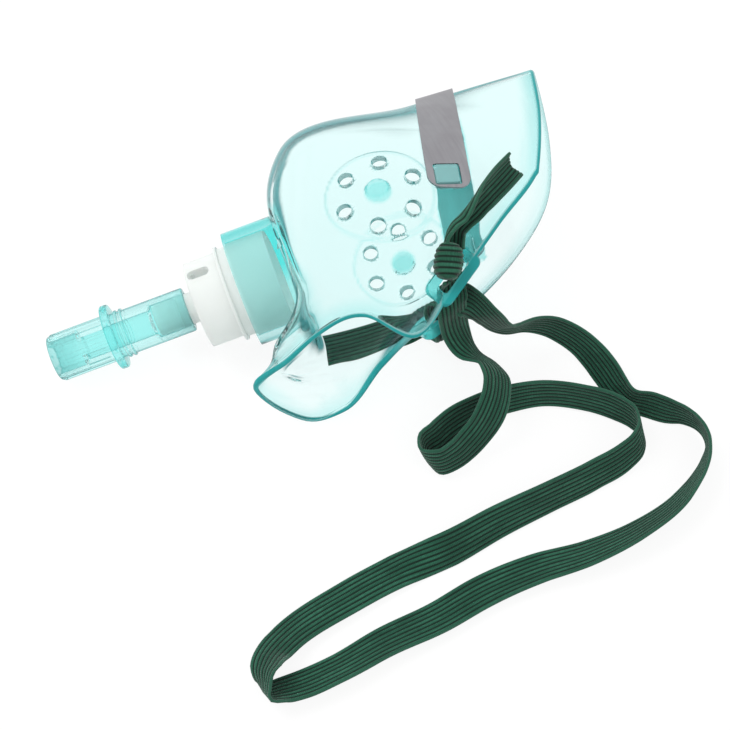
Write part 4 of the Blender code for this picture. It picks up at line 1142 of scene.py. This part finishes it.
def ridge_section(share):
    """The wall's line in a plane across the ridge, from one cheek over the nose to the other."""
    plane = CLIP_SEAT + CLIP_ACROSS * share
    height = (outer - plane) @ CLIP_ACROSS
    crossing = height[:-1] * height[1:] <= 0
    crossing[:PORT_STEPS + FRONT_STEPS] = False
    column = np.flatnonzero(crossing.any(axis=0))
    row = len(crossing) - 1 - crossing[::-1].argmax(axis=0)[column]
    low, high = height[row, column], height[row + 1, column]
    mix = (low / (low - high))[:, None]
    wall = np.concatenate([outer, outer_normals], axis=-1)
    line = wall[row, column] * (1 - mix) + wall[row + 1, column] * mix
    drop = (line[:, :3] - CLIP_SEAT) @ CLIP_DOWN
    turn = np.arctan2(line[:, 2], FAN_DEPTH - drop)
    order = np.argsort(turn)
    return line[order][drop[order] < CLIP_LEG + CLIP_SPARE]


print("wall line across the ridge:", len(ridge_section(0.0)), "points")

# %% Strip of the nose clip


def clip_point_rows():
    """Grid of wall points under the strip: even distances from the ridge, on several planes."""
    straight = np.linspace(-CLIP_LEG, CLIP_LEG, CLIP_ROWS)
    beyond = np.clip((np.abs(straight) - CLIP_LEG + CLIP_CORNER) / CLIP_CORNER, 0.0, CLIP_END)
    narrow = CLIP_CORNER * (1 - np.sqrt(1 - beyond**2))
    half = CLIP_WIDTH / 2 - narrow
    planes = np.linspace(-CLIP_WIDTH / 2, CLIP_WIDTH / 2, CLIP_PLANES)
    sheets = []
    for share in planes:
        line = ridge_section(share)
        reach = reach_along(line[:, :3])
        ridge = reach[np.argmax(-((line[:, :3] - CLIP_SEAT) @ CLIP_DOWN))]
        sheets.append([np.interp(straight, reach - ridge, line[:, k]) for k in range(6)])
    sheets = np.array(sheets).transpose(2, 0, 1)
    shares = half[:, None] * np.linspace(-1.0, 1.0, CLIP_COLUMNS)
    place = (shares - planes[0]) / (planes[1] - planes[0])
    low = np.clip(place.astype(int), 0, len(planes) - 2)
    mix = (place - low)[..., None]
    row = np.arange(CLIP_ROWS)[:, None]
    return sheets[row, low] * (1 - mix) + sheets[row, low + 1] * mix


def make_clip():
    """Closed strip between two offsets of the wall; its inner face has a slot of its own."""
    grid = clip_point_rows()
    point, normal = grid[..., :3], unit(grid[..., 3:])
    under = point + normal * CLIP_STANDOFF
    top = point + normal * (CLIP_STANDOFF + CLIP_THICKNESS)
    section = np.concatenate([under, top[:, ::-1]], axis=1)
    clip = make_tube("nose_strip", on_table(section))
    dress(clip, bpy.data.materials.new("outer_face"), bpy.data.materials.new("inner_face"))
    inner = np.tile(np.arange(2 * CLIP_COLUMNS) < CLIP_COLUMNS - 1, CLIP_ROWS - 1)
    slots = np.append(inner, [False, False]).astype(np.int32)
    clip.data.polygons.foreach_set("material_index", slots)
    hole = rounded_outline(LUG_SIZE[0] + 2 * FIT, LUG_SIZE[1] + 2 * FIT, LUG_CORNER)
    holes = [make_prism("hole", hole, HOLE_CUT, lug_seat(side)) for side in (1, -1)]
    join_and_cut(clip, [joined("holes", holes)], "DIFFERENCE")
    clip.data.set_sharp_from_angle(angle=CLIP_CREASE)
    return clip


clip = make_clip()
describe(clip)

# %% [markdown]
# Rolled strip has fine scratches along its length.  Noise that is squeezed across the strip
# and stretched along it gives them, both in the colour and in the roughness.  The outer face
# takes a darker set of greys as painted shade, and the inner face a brighter set as painted light.

# %% Brushed aluminium
SCRATCHES = (1500.0, 90.0, 90.0)
STAINS = (0.3, 0.8, 0.0, 0.35)
BRUSHED_GLOSS = (0.2, 0.8, 0.38, 0.55)
SHADED_OUTSIDE = ((0.25, 0.25, 0.27, 1.0), (0.46, 0.46, 0.48, 1.0), (0.26, 0.24, 0.26, 1.0))
LIT_INSIDE = ((0.60, 0.63, 0.64, 1.0), (0.84, 0.86, 0.86, 1.0), (0.62, 0.64, 0.65, 1.0))


def brushed_strip(name, dark, light, stain):
    """Soft grey metal with scratches along the strip and darker stains."""
    material, tree = new_material(name)
    where = add(tree, "TexCoord", out="Object")
    turned = {"Vector": where, "Rotation": (0.0, 0.0, CLIP_SLANT), "Scale": SCRATCHES}
    lines = noise(tree, add(tree, "Mapping", turned), 1.0)
    cloud = noise(tree, where, 120.0, 3.0)
    colour = blend_colour(tree, lines, dark, light)
    inputs = {
        "Base Color": blend_colour(tree, span(tree, cloud, *STAINS), colour, stain),
        "Roughness": span(tree, lines, *BRUSHED_GLOSS),
        "Normal": bump(tree, lines, 0.00002, 0.6),
        "Metallic": 1.0,
    }
    finish_surface(tree, add(tree, "BsdfPrincipled", inputs))
    return material


# Painted shade on the outer face and painted light on the inner face of the same metal.
clip.data.materials[0] = brushed_strip("brushed_shaded_outside", *SHADED_OUTSIDE)
clip.data.materials[1] = brushed_strip("brushed_lit_inside", *LIT_INSIDE)
print("clip finished")

# %% [markdown]
# The collar and the connector are turned parts: a profile of places along the port's axis and
# radii, carried once round it.  A third value says where ribs may swell the radius, with the
# cosine of the angle.

# %% Turned parts
TURN_STEPS = 192
TURNED_CREASE = math.radians(30.0)
RIB_FULLNESS = 0.6


def make_turned(name, profile, ribs=None):
    """Surface of revolution round the port's axis, from rows of place, radius and rib share."""
    turn = np.linspace(0.0, 2 * np.pi, TURN_STEPS, endpoint=False)[None, :]
    place, radius, ribbed = np.array(profile, float).T[..., None]
    place, radius = place + 0 * turn, radius + 0 * turn
    if ribs is not None:
        first, last, count, height = ribs
        ribbed = ribbed * (place >= first) * (place <= last)
        radius += ribbed * height * np.maximum(np.cos(count * turn), 0.0) ** RIB_FULLNESS
    points = np.stack([place, radius * np.cos(turn), radius * np.sin(turn)], axis=-1)
    faces = grid_faces(*points.shape[:2], loop_rows=True)
    piece = make_mesh(name, on_table(points), faces)
    piece.data.set_sharp_from_angle(angle=TURNED_CREASE)
    turn_outwards(piece)
    return piece


def round_edge(place, radius, edge, turn=1, steps=4):
    """Quarter round at an outer corner, where the profile rises (turn 1) or falls (turn -1)."""
    swing = np.linspace(0.0, np.pi / 2, steps + 1)[::turn]
    along = place + turn * edge * (1 - np.cos(swing))
    return [(x, y, 1) for x, y in zip(along, radius - edge + edge * np.sin(swing))]


print("turned parts ready")

# %% [markdown]
# The collar is a milky sleeve with a thin ring, two oval windows and a narrow spigot.

# %% Port collar
COLLAR_RADIUS = 11.0
COLLAR_WALL = 1.3
COLLAR_FACE = -33.9
COLLAR_FLANGE = -25.6
COLLAR_FLANGE_RADIUS = 12.3
COLLAR_FLANGE_THICKNESS = 0.9
COLLAR_PLUG_END = -12.5
COLLAR_EDGE = 0.5
COLLAR_FLANGE_EDGE = 0.25
SPIGOT_RADIUS = 4.0
SPIGOT_BORE = 2.7
SPIGOT_LENGTH = 11.0
WINDOW_CENTRE = 3.4
WINDOW_OUTLINE = rounded_outline(5.5, 2.8, 1.25, 8)
WINDOW_ANGLES = (83.0, 263.0)
WINDOW_CUT = ((8.7, 0), (12.0, 0))


def make_collar():
    """Turned sleeve with a shouldered plug, and both windows cut through it."""
    edge, bore = COLLAR_EDGE, COLLAR_RADIUS - COLLAR_WALL
    plug = PORT_RADIUS - PORT_WALL - FIT
    ring_end = COLLAR_FLANGE + COLLAR_FLANGE_THICKNESS
    tip = COLLAR_FACE - SPIGOT_LENGTH
    profile = round_edge(tip, SPIGOT_RADIUS, edge)
    profile += [(COLLAR_FACE, SPIGOT_RADIUS, 1)]
    profile += round_edge(COLLAR_FACE, COLLAR_RADIUS, edge)
    profile += [(COLLAR_FLANGE, COLLAR_RADIUS, 1)]
    for place, turn in ((COLLAR_FLANGE, 1), (ring_end, -1)):
        profile += round_edge(place, COLLAR_FLANGE_RADIUS, COLLAR_FLANGE_EDGE, turn, 3)
    profile += [(ring_end, COLLAR_RADIUS + edge, 1), (PORT_MOUTH - edge, COLLAR_RADIUS + edge, 1)]
    profile += [(PORT_MOUTH + edge, plug, 1), (COLLAR_PLUG_END, plug, 1)]
    profile += [(COLLAR_PLUG_END, plug - COLLAR_WALL, 0), (PORT_MOUTH, bore, 0)]
    profile += [(COLLAR_FACE + COLLAR_WALL, bore, 0), (COLLAR_FACE + COLLAR_WALL, SPIGOT_BORE, 0)]
    profile += [(tip, SPIGOT_BORE, 0)]
    collar = make_turned("milky_collar", profile)
    windows = []
    for angle in WINDOW_ANGLES:
        out = np.array([0.0, math.cos(math.radians(angle)), math.sin(math.radians(angle))])
        seat = frame_on((COLLAR_FACE + WINDOW_CENTRE, 0.0, 0.0), out, np.array([1.0, 0.0, 0.0]))
        windows.append(make_prism("window", WINDOW_OUTLINE, WINDOW_CUT, seat))
    join_and_cut(collar, [joined("windows", windows)], "DIFFERENCE")
    collar.data.set_sharp_from_angle(angle=TURNED_CREASE)
    return collar


collar = make_collar()
describe(collar)

# %% [markdown]
# The collar's plastic is milky: it lets light in and scatters it.  Half transmission with a
# satin roughness does most of that, a little subsurface scattering softens it, and a faint
# painted glow stands in for the light that wanders in the wall.

# %% Milky plastic
MILKY_DEEP = (0.80, 0.825, 0.81, 1.0)
MILKY_PALE = (0.86, 0.88, 0.865, 1.0)
MILKY_GLOSS = (0.3, 0.8, 0.46, 0.58)


def milky_plastic():
    """Translucent white plastic with a satin skin."""
    material, tree = new_material("milky")
    where = add(tree, "TexCoord", out="Object")
    cloud = noise(tree, where, 160.0, 3.0)
    grain = noise(tree, where, 1800.0)
    inputs = {
        "Base Color": blend_colour(tree, cloud, MILKY_DEEP, MILKY_PALE),
        "Roughness": span(tree, cloud, *MILKY_GLOSS),
        "Normal": bump(tree, grain, 0.000004, 0.5),
        "Transmission Weight": 0.50,
        "Subsurface Weight": 0.15,
        "Subsurface Radius": (0.0012, 0.0012, 0.0011),
        "Subsurface Scale": 1.0,
        "IOR": 1.45,
        # Painted glow: a faint emission that brightens the collar and its plug.
        "Emission Color": (0.90, 0.92, 0.895, 1.0),
        "Emission Strength": 0.07,
    }
    finish_surface(tree, add(tree, "BsdfPrincipled", inputs))
    return material


dress(collar, milky_plastic())
print("collar dressed")

# %% [markdown]
# The connector is clear tinted plastic: a ribbed nozzle for the tubing, a grip flange, two
# fine beads, and a plain barrel that is pushed on the collar's spigot.

# %% Tubing connector
CONNECTOR_GAP = 2.4
CONNECTOR_RADIUS = 5.7
CONNECTOR_LENGTH = 35.9
CONNECTOR_END = COLLAR_FACE - CONNECTOR_GAP
CONNECTOR_START = CONNECTOR_END - CONNECTOR_LENGTH
CONNECTOR_EDGE = 0.5
BORE_CONE = 1.0
NOZZLE_LENGTH = 15.0
NOZZLE_BORE = 4.4
NOZZLE_DEPTH = 7.5
NOZZLE_RIBS = 12
RIB_HEIGHT = 0.35
RIB_START = 0.9
RIB_END = 0.8
THROAT_RADIUS = 3.2
GRIP_RADIUS = 8.35
GRIP_THICKNESS = 2.0
BEAD_HEIGHT = 0.5
BEAD_WIDTH = 0.9
BEAD_PLACES = (0.8, 2.1)
BEAD_STEPS_ROUND = 9
BARREL_TINT = 0.20
GRIP_TINT = 0.8
GRIP_SOLID = 0.04
GRIP_FADE = (0.4, 0.8)
END_SOLID = 0.45
END_FADE = 0.7


def make_connector():
    """Turned barrel with a bore in three steps, and ribs along its nozzle."""
    start, end = CONNECTOR_START, CONNECTOR_END
    edge, radius = CONNECTOR_EDGE, CONNECTOR_RADIUS
    grip = start + NOZZLE_LENGTH
    grip_end = grip + GRIP_THICKNESS
    profile = round_edge(start, radius, edge)
    profile += [(place, radius, 1) for place in np.linspace(start + 1.0, grip - RIB_END, 24)]
    profile += [(grip, radius, 1)]
    for place, turn in ((grip, 1), (grip_end, -1)):
        profile += round_edge(place, GRIP_RADIUS, edge, turn)
    profile += [(grip_end, radius, 1)]
    swell = np.linspace(0.0, np.pi, BEAD_STEPS_ROUND)
    for offset in BEAD_PLACES:
        bead = grip_end + offset + BEAD_WIDTH * (1 - np.cos(swell)) / 2
        profile += [(x, radius + BEAD_HEIGHT * math.sin(y), 1) for x, y in zip(bead, swell)]
    profile += round_edge(end, radius, edge, -1)
    socket, socket_end = SPIGOT_RADIUS + FIT, COLLAR_FACE - SPIGOT_LENGTH - FIT
    throat = start + NOZZLE_DEPTH
    profile += [(end, socket, 0), (socket_end, socket, 0)]
    profile += [(socket_end - BORE_CONE, THROAT_RADIUS, 0), (throat + BORE_CONE, THROAT_RADIUS, 0)]
    profile += [(throat, NOZZLE_BORE, 0), (start, NOZZLE_BORE, 0)]
    ribs = (start + RIB_START, grip - RIB_END, NOZZLE_RIBS, RIB_HEIGHT)
    return make_turned("tinted_connector", profile, ribs)


def connector_depth(places):
    """Solid and tint values along the connector: most at the flange and at both ends."""
    beyond = np.hypot(places[:, 1], places[:, 2]) - CONNECTOR_RADIUS
    flange = smooth((beyond - GRIP_FADE[0]) / GRIP_FADE[1])
    inside = np.minimum(places[:, 0] - CONNECTOR_START, CONNECTOR_END - places[:, 0])
    solid = spread(inside, 0.0, END_FADE, END_SOLID) + GRIP_SOLID * flange
    return {"solid": solid, "tint": np.maximum(BARREL_TINT, GRIP_TINT * flange)}


connector = make_connector()
paint(connector, connector_depth(mask_places(connector)))
dress(connector, tinted)
describe(connector)

# %% [markdown]
# The table is white and so is all that stands round it.  Rays from the camera, and rays that a
# mirror or a clear plastic passes on, see that white as a plain light of strength one, while
# the lamps stay at a level that keeps each colour as written.  The floor mixes the two, so a
# pale shadow stays under the mask and the strap.

# %% Table and surroundings
FLOOR_HALF = 1.5
FLOOR_WHITE = 0.88
FLOOR_MATT = (0.9, 0.9, 0.9, 1.0)
WHITE = (1.0, 1.0, 1.0, 1.0)
WORLD_LIGHT = 0.92


def seen_directly(tree):
    """One for rays of the camera, of mirrors and through clear plastics, and zero for the rest."""
    rays = add(tree, "LightPath").node.outputs
    seen = sums(tree, "MAXIMUM", rays["Is Camera Ray"], rays["Is Glossy Ray"])
    return sums(tree, "MAXIMUM", seen, rays["Is Transmission Ray"])


def make_floor():
    """White square below the object, mostly plain white where it is seen."""
    corners = np.array([[-1, -1, 0], [1, -1, 0], [1, 1, 0], [-1, 1, 0]]) * FLOOR_HALF
    floor = make_mesh("floor", corners, np.array([[0, 1, 2, 3]]))
    material, tree = new_material("floor")
    matt = add(tree, "BsdfDiffuse", {"Color": FLOOR_MATT})
    white = add(tree, "Emission", {"Color": WHITE, "Strength": 1.0})
    share = sums(tree, "MULTIPLY", seen_directly(tree), FLOOR_WHITE)
    finish_surface(tree, add(tree, "MixShader", {0: share, 1: matt, 2: white}))
    dress(floor, material)


def make_world():
    """White where it is seen, a little below white as a light."""
    world = bpy.data.worlds.new("studio")
    world.use_nodes = True
    tree = world.node_tree
    tree.nodes.clear()
    light = add(tree, "Background", {"Color": WHITE, "Strength": WORLD_LIGHT})
    white = add(tree, "Background", {"Color": WHITE, "Strength": 1.0})
    surface = add(tree, "MixShader", {0: seen_directly(tree), 1: light, 2: white})
    finish_surface(tree, surface, "OutputWorld")
    bpy.context.scene.world = world


make_floor()
make_world()
print("white table and surroundings ready")

# %% [markdown]
# Three square lamps shape the pieces.  Mirrors and clear plastics don't show them, so no hard
# square is seen in the wall.  A ray may be bent many times, because the view through both
# cheeks meets four faces at least.

# %% Lamps and light paths
LAMPS = (
    ("key", (-0.35, 0.25, 0.65), 0.40, 3.4),
    ("fill", (0.45, -0.45, 0.45), 0.50, 1.2),
    ("back", (0.10, 0.60, 0.25), 0.30, 1.0),
)
BOUNCES = 24
CLEAR_BOUNCES = 32


def make_lamp(name, place, size, power):
    """Square lamp that looks at the middle of the object."""
    data = bpy.data.lights.new(name, "AREA")
    data.size = size
    data.energy = power
    lamp = new_object(name, data)
    lamp.location = place
    lamp.visible_glossy = False
    lamp.visible_transmission = False
    middle = (cad_box[0] + cad_box[1]) / 2
    lamp.rotation_euler = (lamp.location - middle).to_track_quat("Z", "Y").to_euler()


for lamp in LAMPS:
    make_lamp(*lamp)
scene = bpy.context.scene
scene.view_settings.view_transform = "Standard"
scene.cycles.max_bounces = BOUNCES
scene.cycles.glossy_bounces = BOUNCES
scene.cycles.transmission_bounces = BOUNCES
scene.cycles.transparent_max_bounces = CLEAR_BOUNCES
print(len(LAMPS), "lamps")

# %% [markdown]
# Last, each new piece rides on the root frame, and the imported node that it stands for is
# hidden; the table also names a finish for each of them.

# %% Riding on the frame
SLOTS = {
    moulding: ("mask_shell", "soft_vinyl"),
    clip: ("nose_clip", "soft_aluminium"),
    collar: ("port_collar", "milky_plastic"),
    connector: ("tubing_connector", "tinted_plastic"),
    strap: ("elastic_strap", "covered_elastic"),
}
for piece, (node, slot) in SLOTS.items():
    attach(piece, "root")
    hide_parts(node)
ties = [near_knot, far_knot, near_tail, far_tail]
for piece in ties:
    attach(piece, "root")
print(len(SLOTS) + len(ties), "pieces ride on the frame")
